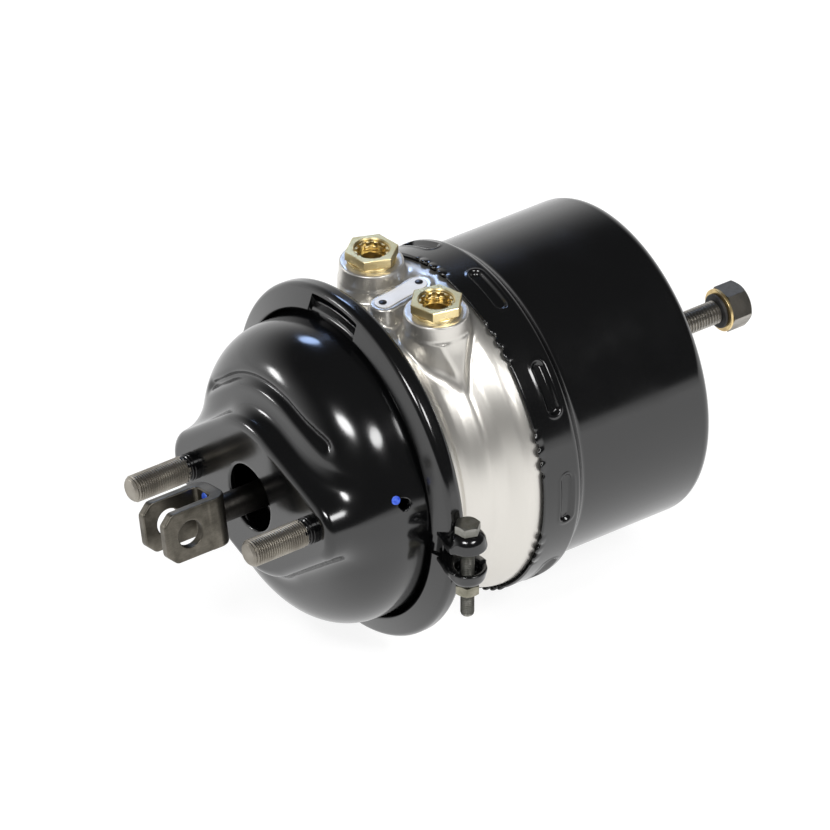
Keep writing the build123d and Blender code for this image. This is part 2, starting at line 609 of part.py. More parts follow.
def port_collets():
    """Toothed retaining rings, one in the groove low in each port's mouth."""
    rings = []
    top = BOSS_TOP + PORT_COLLAR_H + PORT_HEX_H
    z0 = top - PORT_MOUTH_H + SEAT_GAP
    for side in (-1, 1):
        y = side * PORT_Y
        body = post(PORT_X, y, z0, z0 + COLLET_H, PORT_BORE_R + COLLET_OUT - SEAT_GAP)
        body -= post(PORT_X, y, z0 - EPS, z0 + COLLET_H + EPS, COLLET_R)
        for k in range(COLLET_SLOTS):
            slot = Pos(COLLET_R, 0, z0 + COLLET_H) * Box(PORT_BORE_R - COLLET_R, COLLET_SLOT_W, COLLET_H)
            body -= Pos(PORT_X, y, 0) * Rot(0, 0, 360 / COLLET_SLOTS * k) * slot
        rings.append(body)
    return Compound(rings)


def rivet_place(side):
    """Location of one nameplate rivet on the plate's seat."""
    return Pos(LABEL_X, 0, LABEL_Z) * Rot(0, 0, LABEL_TURN) * Pos(side * RIVET_SPACING / 2, 0, 0)


def nameplate():
    """Blank oval plate, held by two rivets."""
    body = extrude(Pos(0, 0, LABEL_Z) * nameplate_outline(0), LABEL_T)
    for side in (-1, 1):
        body -= rivet_place(side) * Cylinder(RIVET_R, LABEL_T * 4)
    return body


def nameplate_rivets():
    """Two drive rivets with low round heads."""
    rivets = []
    for side in (-1, 1):
        shank = Pos(0, 0, (LABEL_T - RIVET_DEPTH) / 2) * Cylinder(RIVET_R, LABEL_T + RIVET_DEPTH)
        head = Pos(0, 0, LABEL_T + RIVET_HEAD_H / 2) * Cylinder(RIVET_HEAD_R, RIVET_HEAD_H)
        rivets.append(rivet_place(side) * (shank + head))
    return Compound(rivets)


def tube_guide_bush():
    """Bush in the web, in which the piston tube slides."""
    return ring(WEB_FRONT, WEB_FRONT + BUSH_LEN, TUBE_R + RUN_GAP, TUBE_R + BUSH_WALL)


def tube_seal():
    """Rubber seal behind the bush."""
    x0 = WEB_FRONT + BUSH_LEN + SEAT_GAP
    return ring(x0, WEB_REAR - SEAT_GAP, TUBE_R + RUN_GAP, TUBE_R + BUSH_WALL)


# ================================================================ spring chamber
def dimple(angle, depth0, depth1, width):
    """Long slot-shaped block on the skirt, between two distances from the axis."""
    oval = Pos(0, 0, depth0) * Rot(0, 0, 90) * SlotOverall(DIMPLE_LEN, width)
    return at_angle(angle) * Pos(DIMPLE_X, 0, 0) * extrude(oval, depth1 - depth0)


def spring_cylinder():
    """Pressed steel cylinder with its widened skirt, dimples and crimped edge."""
    outer = [(SKIRT_X, 0), (SKIRT_X, SKIRT_R), (SKIRT_END, SKIRT_R), (SHELL_X, SHELL_R),
             (REAR_X, SHELL_R), (REAR_X, 0)]
    inner = [(SKIRT_X - EPS, 0), (SKIRT_X - EPS, SKIRT_BORE_R), (SKIRT_END - 1, SKIRT_BORE_R),
             (SHELL_X - 1, BORE_R), (REAR_IN_X, BORE_R), (REAR_IN_X, 0)]
    body = turned_round(outer, [0, 0, 5, 5, REAR_ROUND, 0]) - turned_round(inner, [0, 0, 2, 3, REAR_ROUND - SHELL_T, 0])
    floor = SKIRT_R - DIMPLE_DEPTH
    for k in range(DIMPLES):
        angle = DIMPLE_FIRST - DIMPLE_PITCH * k
        body += dimple(angle, floor - SHELL_T + 0.3, floor, DIMPLE_WIDTH)
        body -= dimple(angle, floor, SKIRT_R + EPS, DIMPLE_WIDTH)
        for off in (-CRIMP_ANGLE, CRIMP_ANGLE):
            edge = post(SKIRT_X, 0, SKIRT_BORE_R - EPS, SKIRT_R + EPS, CRIMP_R)
            body -= at_angle(angle - DIMPLE_PITCH / 2 + off) * edge
    return body - ring(REAR_IN_X - EPS, REAR_X + EPS, 0, BUSH_R + SEAT_GAP)


def seal_stations():
    """Front edges of the piston's seal groove and guide-ring groove."""
    web = (RIM_REAR - RIM_FRONT - 2 * SEAL_W) / 3
    return RIM_FRONT + web, RIM_FRONT + 2 * web + SEAL_W


def spring_piston():
    """Aluminium piston: rim with two grooves, deep body, web and hub."""
    rim = BORE_R - PISTON_FIT
    inner_r = PISTON_BODY_R - PISTON_WALL
    hub = TUBE_R + SEAT_GAP
    body = turned([(PISTON_HUB_FRONT, hub), (PISTON_HUB_FRONT, PISTON_HUB_R), (PISTON_WEB, PISTON_HUB_R),
                   (PISTON_WEB, PISTON_BODY_R - 4), (PISTON_WEB + 4, PISTON_BODY_R),
                   (RIM_FRONT - 6, PISTON_BODY_R), (RIM_FRONT, rim), (RIM_REAR, rim),
                   (RIM_REAR, rim - PISTON_WALL - SEAL_DEPTH), (RIM_FRONT, inner_r), (SPRING_SEAT_X, inner_r),
                   (SPRING_SEAT_X, hub)])
    for x in seal_stations():
        body -= ring(x, x + SEAL_W, rim - SEAL_DEPTH, rim + EPS)
    return body


def rim_ring(x):
    """Ring in one of the piston's grooves, running on the bore."""
    bottom = BORE_R - PISTON_FIT - SEAL_DEPTH + SEAT_GAP
    return ring(x + SEAT_GAP, x + SEAL_W - SEAT_GAP, bottom, BORE_R - RUN_GAP)


def piston_tube():
    """Tube that carries the piston's push through the web to the diaphragm."""
    front = CAP_X + CAP_T + SEAT_GAP
    return turned([(front, TUBE_BORE_R), (front, TUBE_R), (TUBE_REAR, TUBE_R), (TUBE_REAR, SHOULDER_BORE_R),
                   (SHOULDER_X, SHOULDER_BORE_R), (SHOULDER_X, TUBE_BORE_R)])


def tube_end_cap():
    """Cap that closes the tube and pushes on the diaphragm."""
    x1 = CAP_X + CAP_T
    spigot = TUBE_BORE_R - SEAT_GAP
    return turned([(CAP_X, 0), (CAP_X, CAP_R - 1), (CAP_X + 1, CAP_R), (x1, CAP_R), (x1, spigot),
                   (x1 + CAP_SPIGOT, spigot), (x1 + CAP_SPIGOT, 0)])


def power_spring():
    """Parking spring, held compressed between piston and cylinder end."""
    return coil(SPRING_SEAT_X + SEAT_GAP, REAR_IN_X - SEAT_GAP, POWER_R, POWER_R, POWER_WIRE_R, POWER_TURNS)


# ================================================================ release bolt
def release_bush():
    """Threaded bush in the cylinder's end."""
    x0 = REAR_IN_X - BUSH_FLANGE_T
    body = turned([(x0, 0), (x0, BUSH_FLANGE_R), (REAR_IN_X - SEAT_GAP, BUSH_FLANGE_R), (REAR_IN_X - SEAT_GAP, BUSH_R),
                   (REAR_X + BUSH_OUT - 1, BUSH_R), (REAR_X + BUSH_OUT, BUSH_R - 1), (REAR_X + BUSH_OUT, 0)])
    return body - ring(x0 - EPS, REAR_X + BUSH_OUT + EPS, 0, BOLT_R + RUN_GAP)


def roll_pin_bar(r, length):
    """Cylinder across the release nut, through the middle of two flats."""
    return Pos(NUT_X + NUT_H / 2, 0, 0) * Cylinder(r, length)


def release_bolt():
    """Bolt with its round head inside the piston tube."""
    end = NUT_X + NUT_H
    body = turned([(HEAD_X, 0), (HEAD_X, BOLT_HEAD_R - 1), (HEAD_X + 1, BOLT_HEAD_R), (HEAD_X + BOLT_HEAD_T, BOLT_HEAD_R),
                   (HEAD_X + BOLT_HEAD_T, BOLT_R), (end - 1, BOLT_R), (end, BOLT_R - 1), (end, 0)])
    return body - roll_pin_bar(ROLL_PIN_R + SEAT_GAP, NUT_AF * 2)


def thrust_bearing():
    """Thrust washer between the bolt's head and the tube's shoulder."""
    return ring(THRUST_X, THRUST_X + THRUST_T, BOLT_R + RUN_GAP, BOLT_HEAD_R)


def release_nut():
    """Hexagon pinned to the end of the bolt."""
    nut = hex_x(NUT_X + SEAT_GAP, NUT_H - SEAT_GAP, NUT_AF)
    nut = Rot(30, 0, 0) * nut
    nut -= ring(NUT_X - EPS, NUT_X + NUT_H + EPS, 0, BOLT_R + SEAT_GAP)
    return nut - roll_pin_bar(ROLL_PIN_R + SEAT_GAP, NUT_AF * 2)


def roll_pin():
    """Slotted spring pin that locks the nut on the bolt."""
    pin = roll_pin_bar(ROLL_PIN_R, NUT_AF - ROLL_PIN_SHORT) - roll_pin_bar(ROLL_PIN_BORE, NUT_AF * 2)
    return pin - Pos(NUT_X + NUT_H / 2 + ROLL_PIN_R, 0, 0) * Box(ROLL_PIN_R * 2, 0.6, NUT_AF * 2)


def release_washer():
    """Plated washer under the nut."""
    return ring(WASHER_X + SEAT_GAP, NUT_X, BOLT_R + SEAT_GAP, WASHER_R)


def release_seal():
    """Rubber ring that seals the bolt when it is wound in."""
    return ring(BOLT_SEAL_X, WASHER_X, BOLT_R + SEAT_GAP, BOLT_SEAL_R)


# ================================================================ assembly
def nodes():
    """Every separate piece, by its name."""
    seal_x, guide_x = seal_stations()
    return {
        "front_housing": front_housing(),
        "mounting_studs": mounting_studs(),
        "diaphragm": diaphragm(),
        "pressure_plate": pressure_plate(),
        "push_rod": push_rod(),
        "clevis": clevis(),
        "return_spring": return_spring(),
        "clamp_ring": clamp_ring(),
        "clamp_bolt": clamp_bolt(),
        "clamp_nut": clamp_nut(),
        "intermediate_flange": intermediate_flange(),
        "port_fitting_service": port_fitting(-1),
        "port_fitting_parking": port_fitting(1),
        "port_collets": port_collets(),
        "nameplate": nameplate(),
        "nameplate_rivets": nameplate_rivets(),
        "tube_guide_bush": tube_guide_bush(),
        "tube_seal": tube_seal(),
        "spring_cylinder": spring_cylinder(),
        "cylinder_seal": cylinder_seal(),
        "spring_piston": spring_piston(),
        "piston_seal": rim_ring(seal_x),
        "piston_guide_ring": rim_ring(guide_x),
        "piston_tube": piston_tube(),
        "tube_end_cap": tube_end_cap(),
        "power_spring": power_spring(),
        "release_bush": release_bush(),
        "release_bolt": release_bolt(),
        "thrust_bearing": thrust_bearing(),
        "release_nut": release_nut(),
        "roll_pin": roll_pin(),
        "release_washer": release_washer(),
        "release_seal": release_seal(),
    }


def main():
    """Write one STEP file for each node."""
    os.makedirs("parts", exist_ok=True)
    for name, shape in nodes().items():
        export_step(shape, f"parts/{name}.step")


main()
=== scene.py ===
"""Spring brake chamber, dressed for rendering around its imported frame.

Shapes are worked out in millimetres and stood in the scene in metres. The origin is the centre of
the mounting pad's face; +X runs along the chamber to the release bolt and +Z up through the ports.
"""

import logging
import math
from dataclasses import dataclass, field
from enum import Enum
from typing import Callable, Sequence

import bmesh
import bpy
import numpy as np
from mathutils import Matrix, Vector


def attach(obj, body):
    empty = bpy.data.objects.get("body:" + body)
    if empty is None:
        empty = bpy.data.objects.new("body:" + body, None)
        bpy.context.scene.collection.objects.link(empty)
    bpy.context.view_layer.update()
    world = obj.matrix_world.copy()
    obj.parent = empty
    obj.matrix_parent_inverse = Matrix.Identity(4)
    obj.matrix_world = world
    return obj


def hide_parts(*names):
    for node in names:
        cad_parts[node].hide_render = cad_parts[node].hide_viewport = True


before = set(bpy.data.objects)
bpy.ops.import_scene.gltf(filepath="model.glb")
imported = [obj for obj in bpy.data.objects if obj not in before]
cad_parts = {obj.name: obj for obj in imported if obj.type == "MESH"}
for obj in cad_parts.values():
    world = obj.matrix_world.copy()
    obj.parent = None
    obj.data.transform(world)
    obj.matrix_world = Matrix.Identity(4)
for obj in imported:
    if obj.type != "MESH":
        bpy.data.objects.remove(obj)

LOG = logging.getLogger("spring_brake_chamber")
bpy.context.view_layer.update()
MM = 0.001

Points = np.ndarray
Socket = bpy.types.NodeSocket
Distance = Callable[[Points, Points, Points], Points]
Corner = tuple[float, ...]
Colour = tuple[float, float, float]
Outline = list[tuple[float, float]]


class Body(str, Enum):
    """The bodies that the pieces ride on."""

    CHAMBER = "chamber"
    PUSH_ROD = "push_rod_assembly"
    RELEASE = "release_bolt_assembly"


# ---------------------------------------------------------------- finishes
class NodeSheet:
    """Lays out the nodes of one tree."""

    def __init__(self, tree: bpy.types.NodeTree, place: str) -> None:
        """Start on a tree.

        Args:
            tree: the tree that the nodes go in.
            place: the coordinates that its patterns follow.
        """
        self.tree = tree
        self.place = tree.nodes.new("ShaderNodeTexCoord").outputs[place]

    def put(self, kind: str, settings: dict[str, object], inputs: dict[int | str, object]) -> bpy.types.Node:
        """Add a node.

        Args:
            kind: the node's type.
            settings: its own properties.
            inputs: a socket to link, or a value to set, for each input.

        Returns:
            The new node.
        """
        node = self.tree.nodes.new(kind)
        for key, value in settings.items():
            setattr(node, key, value)
        for key, value in inputs.items():
            if isinstance(value, bpy.types.NodeSocket):
                self.tree.links.new(value, node.inputs[key])
            else:
                node.inputs[key].default_value = value
        return node

    def stretched(self, x: float, y: float, z: float) -> Socket:
        """Object coordinates scaled along each axis."""
        return self.put("ShaderNodeMapping", {}, {"Vector": self.place, "Scale": (x, y, z)}).outputs[0]

    def noise(self, scale: float, detail: float = 3.0, rough: float = 0.55,
              at: Socket | None = None) -> Socket:
        """Soft random pattern, as a value of about 0.3 to 0.7."""
        inputs = {"Vector": at or self.place, "Scale": scale, "Detail": detail, "Roughness": rough}
        return self.put("ShaderNodeTexNoise", {}, inputs).outputs[0]

    def level(self, value: Socket, low: float, high: float, to_low: float = 0.0,
              to_high: float = 1.0) -> Socket:
        """Map a value from one range to another, clamped and eased."""
        inputs = {0: value, 1: low, 2: high, 3: to_low, 4: to_high}
        return self.put("ShaderNodeMapRange", {"interpolation_type": "SMOOTHSTEP"}, inputs).outputs[0]

    def maths(self, kind: str, a: Socket | float, b: Socket | float) -> Socket:
        """One step of arithmetic."""
        return self.put("ShaderNodeMath", {"operation": kind}, {0: a, 1: b}).outputs[0]

    def between(self, share: Socket, first: Socket | float, second: Socket | float) -> Socket:
        """Mix two values by a share."""
        return self.put("ShaderNodeMix", {}, {0: share, 2: first, 3: second}).outputs[0]

    def mixed(self, share: Socket, first: Colour | Socket, second: Colour | Socket) -> Socket:
        """Mix two colours by a share."""
        first, second = (c if isinstance(c, bpy.types.NodeSocket) else (*c, 1.0) for c in (first, second))
        return self.put("ShaderNodeMix", {"data_type": "RGBA"}, {0: share, 6: first, 7: second}).outputs[2]


class Recipe(NodeSheet):
    """The nodes of one material, round its principled shader."""

    inputs = {"ior": "IOR", "metallic": "Metallic", "roughness": "Roughness",
              "specular": "Specular IOR Level"}

    def __init__(self, name: str) -> None:
        """Start a material.

        Args:
            name: the material's name.
        """
        self.material = bpy.data.materials.new(name)
        self.material.use_nodes = True
        super().__init__(self.material.node_tree, "Object")
        self.shader = self.tree.nodes["Principled BSDF"]

    def fix(self, **values: float) -> None:
        """Set plain values on the shader, by short names."""
        for key, value in values.items():
            self.shader.inputs[self.inputs[key]].default_value = value

    def give(self, key: str, socket: Socket) -> None:
        """Link a socket to one of the shader's inputs."""
        self.tree.links.new(socket, self.shader.inputs[key])

    def relief(self, height: Socket, depth_mm: float, under: Socket | None = None) -> Socket:
        """Surface relief.

        Args:
            height: the pattern that gives the height.
            depth_mm: how high a full step of the pattern stands.
            under: a relief that lies beneath this one.

        Returns:
            The bent normal.
        """
        inputs = {"Height": height, "Distance": depth_mm * MM, "Strength": 1.0}
        if under is not None:
            inputs["Normal"] = under
        return self.put("ShaderNodeBump", {}, inputs).outputs[0]

    def seen(self) -> Socket:
        """Tell a straight or mirrored look at the surface from light thrown back by it.

        Returns:
            One where the surface is seen straight, in a mirror or through glass, and otherwise nought.
        """
        path = self.put("ShaderNodeLightPath", {}, {}).outputs
        straight = self.maths("MAXIMUM", path["Is Camera Ray"], path["Is Glossy Ray"])
        return self.maths("MAXIMUM", straight, path["Is Transmission Ray"])


@dataclass(frozen=True)
class Finish:
    """Base of all finishes; each one builds its own material once."""

    name: str

    def material(self) -> bpy.types.Material:
        """Find the finish's material, or make it at first use.

        Returns:
            The material.
        """
        found = bpy.data.materials.get(self.name)
        if found:
            return found
        recipe = Recipe(self.name)
        self.lay(recipe)
        return recipe.material

    def lay(self, recipe: Recipe) -> None:
        """Lay out the material's nodes."""
        raise NotImplementedError


@dataclass(frozen=True)
class GlossPaint(Finish):
    """Black gloss paint with a faint orange peel and a little dust."""

    shade: Colour = (0.0030, 0.0031, 0.0034)
    dust: Colour = (0.04, 0.04, 0.042)
    dust_share: float = 0.2
    gloss: float = 0.125
    peel: float = 0.0030
    ior: float = 1.7

    def lay(self, recipe: Recipe) -> None:
        """Lay out the material's nodes.

        Args:
            recipe: the material.
        """
        specks = recipe.level(recipe.noise(900, 2), 0.70, 0.78, 0.0, self.dust_share)
        recipe.give("Base Color", recipe.mixed(specks, self.shade, self.dust))
        recipe.give("Roughness", recipe.level(recipe.noise(38, 4), 0.3, 0.75, self.gloss, self.gloss + 0.06))
        ripple = recipe.relief(recipe.noise(210, 1.5), self.peel)
        recipe.give("Normal", recipe.relief(recipe.noise(45, 1), self.peel * 4, ripple))
        recipe.fix(ior=self.ior)


@dataclass(frozen=True)
class CastAluminium(Finish):
    """Blasted aluminium casting, satin, with grain, faint flow marks and grey smudges."""

    light: Colour = (0.76, 0.745, 0.675)
    middle: Colour = (0.67, 0.65, 0.575)
    smudge: Colour = (0.40, 0.39, 0.34)
    smudge_share: float = 0.45
    gloss: tuple[float, float] = (0.58, 0.72)
    specular: float = 0.22
    grain_depth: float = 0.035
    flow_depth: float = 0.16

    def lay(self, recipe: Recipe) -> None:
        """Lay out the material's nodes.

        Args:
            recipe: the material.
        """
        flow = recipe.noise(16, 5, 0.6, recipe.stretched(1.0, 1.0, 0.45))
        tone = recipe.mixed(recipe.level(flow, 0.30, 0.72), self.middle, self.light)
        smudges = recipe.level(recipe.noise(48, 4, 0.6), 0.58, 0.80, 0.0, self.smudge_share)
        recipe.give("Base Color", recipe.mixed(smudges, tone, self.smudge))
        recipe.give("Roughness", recipe.level(recipe.noise(70, 4), 0.3, 0.7, *self.gloss))
        grain = recipe.relief(recipe.noise(1500, 3), self.grain_depth)
        marks = recipe.noise(120, 3, 0.6, recipe.stretched(1.0, 1.0, 0.4))
        recipe.give("Normal", recipe.relief(marks, self.flow_depth, grain))
        recipe.fix(specular=self.specular)


@dataclass(frozen=True)
class MachinedMetal(Finish):
    """Turned or drawn metal with fine tool lines and a mottled surface."""

    light: Colour
    dark: Colour
    gloss: float = 0.28
    lines: tuple[float, float, float] = (1.0, 1.0, 9.0)
    line_depth: float = 0.02
    mottle: float = 90.0
    metal: float = 1.0

    def lay(self, recipe: Recipe) -> None:
        """Lay out the material's nodes.

        Args:
            recipe: the material.
        """
        mottle = recipe.noise(self.mottle, 5, 0.62)
        tone = recipe.mixed(recipe.level(mottle, 0.32, 0.70), self.light, self.dark)
        tool = recipe.noise(260, 2, 0.5, recipe.stretched(*self.lines))
        recipe.give("Base Color", recipe.mixed(recipe.level(tool, 0.35, 0.75, 0.0, 0.35), tone, self.dark))
        recipe.give("Roughness", recipe.level(mottle, 0.3, 0.75, self.gloss, self.gloss + 0.16))
        recipe.give("Normal", recipe.relief(tool, self.line_depth))
        recipe.fix(metallic=self.metal)


@dataclass(frozen=True)
class StudSteel(Finish):
    """Phosphated stud steel, its root covered by overspray of black paint."""

    light: Colour = (0.36, 0.335, 0.29)
    dark: Colour = (0.23, 0.21, 0.18)
    paint: Colour = (0.0035, 0.0035, 0.0038)
    paint_x: float = -5.5
    ragged: float = 1.6
    gloss: tuple[float, float] = (0.40, 0.52)
    paint_gloss: float = 0.3

    def lay(self, recipe: Recipe) -> None:
        """Lay out the material's nodes.

        Args:
            recipe: the material.
        """
        along = recipe.put("ShaderNodeSeparateXYZ", {}, {0: recipe.place}).outputs[0]
        ragged = recipe.level(recipe.noise(330, 3), 0.3, 0.7, -self.ragged * MM, self.ragged * MM)
        edge = recipe.maths("ADD", along, ragged)
        painted = recipe.level(edge, (self.paint_x - 0.2) * MM, (self.paint_x + 0.3) * MM)
        mottle = recipe.noise(60, 4, 0.5)
        steel = recipe.mixed(recipe.level(mottle, 0.32, 0.70), self.light, self.dark)
        recipe.give("Base Color", recipe.mixed(painted, steel, self.paint))
        bare = recipe.level(mottle, 0.3, 0.7, *self.gloss)
        smoother = recipe.level(painted, 0, 1, 1.0, self.paint_gloss)
        recipe.give("Roughness", recipe.maths("MULTIPLY", bare, smoother))
        recipe.give("Metallic", recipe.level(painted, 0, 1, 1.0, 0.0))
        recipe.give("Normal", recipe.relief(recipe.noise(1300, 2), 0.004))


@dataclass(frozen=True)
class MoldedRubber(Finish):
    """Black or coloured rubber with a fine grain."""

    shade: Colour = (0.018, 0.018, 0.018)
    bloom: Colour = (0.045, 0.044, 0.042)

    def lay(self, recipe: Recipe) -> None:
        """Lay out the material's nodes.

        Args:
            recipe: the material.
        """
        cloud = recipe.noise(110, 4)
        recipe.give("Base Color", recipe.mixed(recipe.level(cloud, 0.4, 0.75), self.shade, self.bloom))
        recipe.give("Roughness", recipe.level(cloud, 0.3, 0.7, 0.45, 0.66))
        recipe.give("Normal", recipe.relief(recipe.noise(1100, 3), 0.02))


@dataclass(frozen=True)
class MarkingPaint(Finish):
    """A dab of brush-on marking paint."""

    shade: Colour = (0.02, 0.07, 0.62)
    thin: Colour = (0.10, 0.22, 0.85)

    def lay(self, recipe: Recipe) -> None:
        """Lay out the material's nodes.

        Args:
            recipe: the material.
        """
        streak = recipe.noise(420, 3)
        recipe.give("Base Color", recipe.mixed(recipe.level(streak, 0.35, 0.7), self.shade, self.thin))
        recipe.give("Roughness", recipe.level(streak, 0.3, 0.7, 0.25, 0.45))
        recipe.give("Normal", recipe.relief(streak, 0.05))


BLACK = GlossPaint("gloss_black_paint")
CASTING = CastAluminium("cast_aluminium")
STUDS = StudSteel("phosphated_stud_steel")
BRASS = MachinedMetal("machined_brass", (0.88, 0.75, 0.43), (0.74, 0.58, 0.28), 0.26,
                      line_depth=0.004, mottle=60.0)
FORK = MachinedMetal("rolled_fork_steel", (0.18, 0.165, 0.138), (0.085, 0.078, 0.064), 0.32,
                     (1.0, 8.0, 8.0), 0.014, 60.0)
DARK_ROD = MachinedMetal("blackened_rod_steel", (0.05, 0.047, 0.043), (0.022, 0.02, 0.018), 0.34,
                         (6.0, 1.0, 1.0))
BOLT = MachinedMetal("zinc_flake_bolt_steel", (0.34, 0.335, 0.31), (0.17, 0.17, 0.15), 0.33,
                     (1.0, 1.0, 4.0), 0.010)
NUT = MachinedMetal("dull_zinc_nut_steel", (0.36, 0.345, 0.28), (0.20, 0.19, 0.145), 0.36,
                    (1.0, 1.0, 4.0), 0.010)
PINNED_NUT = MachinedMetal("oiled_nut_steel", (0.34, 0.32, 0.285), (0.20, 0.185, 0.16),
                           lines=(4.0, 1.0, 1.0), line_depth=0.010)
SCREW = MachinedMetal("drawn_screw_steel", (0.50, 0.48, 0.44), (0.30, 0.28, 0.25),
                      lines=(5.0, 1.0, 1.0), line_depth=0.004, mottle=40.0)
YELLOW_ZINC = MachinedMetal("yellow_zinc_plate", (0.90, 0.70, 0.34), (0.70, 0.52, 0.26),
                            lines=(1.0, 1.0, 1.0), line_depth=0.006)
PLATE = MachinedMetal("satin_label_plate", (0.88, 0.88, 0.89), (0.78, 0.78, 0.79), 0.42,
                      (2.0, 14.0, 1.0), 0.004, 40.0, 0.25)
RIVET = MachinedMetal("dark_rivet_steel", (0.17, 0.17, 0.18), (0.08, 0.08, 0.085))
SPRING = MachinedMetal("oil_tempered_spring", (0.10, 0.10, 0.105), (0.05, 0.048, 0.045), 0.30,
                       (1.0, 1.0, 1.0))
BRIGHT = MachinedMetal("bright_turned_steel", (0.56, 0.55, 0.53), (0.38, 0.37, 0.35), 0.22,
                       (9.0, 1.0, 1.0), 0.012)
RUBBER = MoldedRubber("black_rubber")
NYLON = MoldedRubber("white_nylon", (0.62, 0.60, 0.54), (0.72, 0.70, 0.64))
BLUE = MarkingPaint("blue_marking_paint")


# ---------------------------------------------------------------- mesh making
@dataclass
class Blank:
    """A mesh in the making: corner points in millimetres, faces, and exact normals where known."""

    points: Points
    faces: list[list[int]]
    normals: Points | None = None

    def moved(self, matrix: Matrix) -> "Blank":
        """Turn and shift the mesh.

        Args:
            matrix: a rigid matrix.

        Returns:
            A mesh of its own, with its normals turned too.
        """
        turn, shift = np.array(matrix.to_3x3()), np.array(matrix.translation)
        normals = None if self.normals is None else self.normals @ turn.T
        return Blank(self.points @ turn.T + shift, self.faces, normals)

    def joined(self, *others: "Blank") -> "Blank":
        """Join this mesh and others.

        Args:
            others: the other meshes.

        Returns:
            All of them as one mesh.
        """
        points, faces = [self.points], list(self.faces)
        count = len(self.points)
        for other in others:
            points.append(other.points)
            faces += [[i + count for i in face] for face in other.faces]
            count += len(other.points)
        return Blank(np.concatenate(points), faces)

    def stand(self, name: str, body: Body, finish: Finish, stands_for: Sequence[str] = (),
              crease: float = 38.0, bevel: float = 0.0) -> bpy.types.Object:
        """Stand the mesh in the scene.

        Args:
            name: the piece's name.
            body: what it rides on.
            finish: its finish.
            stands_for: the CAD nodes that it replaces.
            crease: the angle in degrees above which an edge is sharp.
            bevel: width in millimetres of a small bevel on sharp edges.

        Returns:
            The new object.
        """
        mesh = bpy.data.meshes.new(name)
        mesh.from_pydata((self.points * MM).tolist(), [], self.faces)
        if self.normals is None:
            shape = bmesh.new()
            shape.from_mesh(mesh)
            bmesh.ops.remove_doubles(shape, verts=shape.verts, dist=2e-6)
            bmesh.ops.recalc_face_normals(shape, faces=shape.faces)
            limit = math.radians(crease)
            for edge in shape.edges:
                edge.smooth = len(edge.link_faces) == 2 and edge.calc_face_angle(0.0) < limit
            for face in shape.faces:
                face.smooth = True
            shape.to_mesh(mesh)
            shape.free()
        else:
            mesh.shade_smooth()
            mesh.normals_split_custom_set_from_vertices(self.normals.tolist())
        piece = bpy.data.objects.new(name, mesh)
        bpy.context.scene.collection.objects.link(piece)
        mesh.materials.append(finish.material())
        if self.normals is None:
            if bevel > 0:
                edge = piece.modifiers.new("edge", "BEVEL")
                edge.width, edge.segments, edge.limit_method = bevel * MM, 2, "ANGLE"
                edge.angle_limit, edge.harden_normals = math.radians(crease), False
            weigh = piece.modifiers.new("weigh", "WEIGHTED_NORMAL")
            weigh.keep_sharp, weigh.weight = True, 50
        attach(piece, body.value)
        if stands_for:
            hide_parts(*stands_for)
        LOG.info("%s: %d faces on %s", name, len(mesh.polygons), body.value)
        return piece


def weave(rows: int, columns: int, close_rows: bool, close_columns: bool) -> list[list[int]]:
    """Quads over a grid of points.

    Args:
        rows: points one way.
        columns: points the other way, which vary fastest.
        close_rows: join the last row to the first.
        close_columns: join the last column to the first.

    Returns:
        The faces.
    """
    i = np.arange(rows if close_rows else rows - 1)
    j = np.arange(columns if close_columns else columns - 1)
    a, b = np.meshgrid(i, j, indexing="ij")
    c, d = (a + 1) % rows, (b + 1) % columns
    quads = np.stack([a * columns + b, c * columns + b, c * columns + d, a * columns + d], -1)
    return quads.reshape(-1, 4).tolist()


def eased(corners: Sequence[Corner], steps: int = 5) -> Outline:
    """Round the corners of a closed outline.

    Args:
        corners: (x, radius) or (x, radius, rounding) for each corner.
        steps: segments in each rounded corner.

    Returns:
        The outline's points.
    """
    spots = [np.array(corner[:2], float) for corner in corners]
    outline: Outline = []
    for i, corner in enumerate(corners):
        spot, size = spots[i], corner[2] if len(corner) > 2 else 0.0
        if size <= 0:
            outline.append((spot[0], spot[1]))
            continue
        back, on = spots[i - 1] - spot, spots[(i + 1) % len(spots)] - spot
        far_back, far_on = np.linalg.norm(back), np.linalg.norm(on)
        back, on = back / far_back, on / far_on
        half = math.acos(max(-1.0, min(1.0, float(back @ on)))) / 2
        reach = min(size / math.tan(half), 0.49 * far_back, 0.49 * far_on)
        size = reach * math.tan(half)
        middle = spot + (back + on) / np.linalg.norm(back + on) * size / math.sin(half)
        first, last = spot + back * reach - middle, spot + on * reach - middle
        sweep = math.acos(max(-1.0, min(1.0, float(first @ last) / size**2)))
        for k in range(steps + 1):
            share = k / steps
            arc = (math.sin((1 - share) * sweep) * first + math.sin(share * sweep) * last) / math.sin(sweep)
            outline.append(tuple(middle + arc))
    return outline


def bar(rows: Sequence[tuple[float, Points | float]], steps: int = 96, close: bool = False) -> Blank:
    """Skin rings of points about the X axis.

    Args:
        rows: (x, radius) for each ring; either may be an array over the turn.
        steps: points round each ring.
        close: join the last ring to the first.

    Returns:
        The mesh.
    """
    turn = np.linspace(0, 2 * math.pi, steps, endpoint=False)
    rings = []
    for x, radius in rows:
        radius = np.broadcast_to(np.asarray(radius, float), steps)
        rings.append(np.stack([np.broadcast_to(np.asarray(x, float), steps), radius * np.sin(turn),
                               radius * np.cos(turn)], -1))
    return Blank(np.concatenate(rings), weave(len(rows), steps, close, True))


def lathe(corners: Sequence[Corner]) -> Blank:
    """Turn a closed (x, radius, rounding) outline about the X axis."""
    return bar(eased(corners), 96, True)


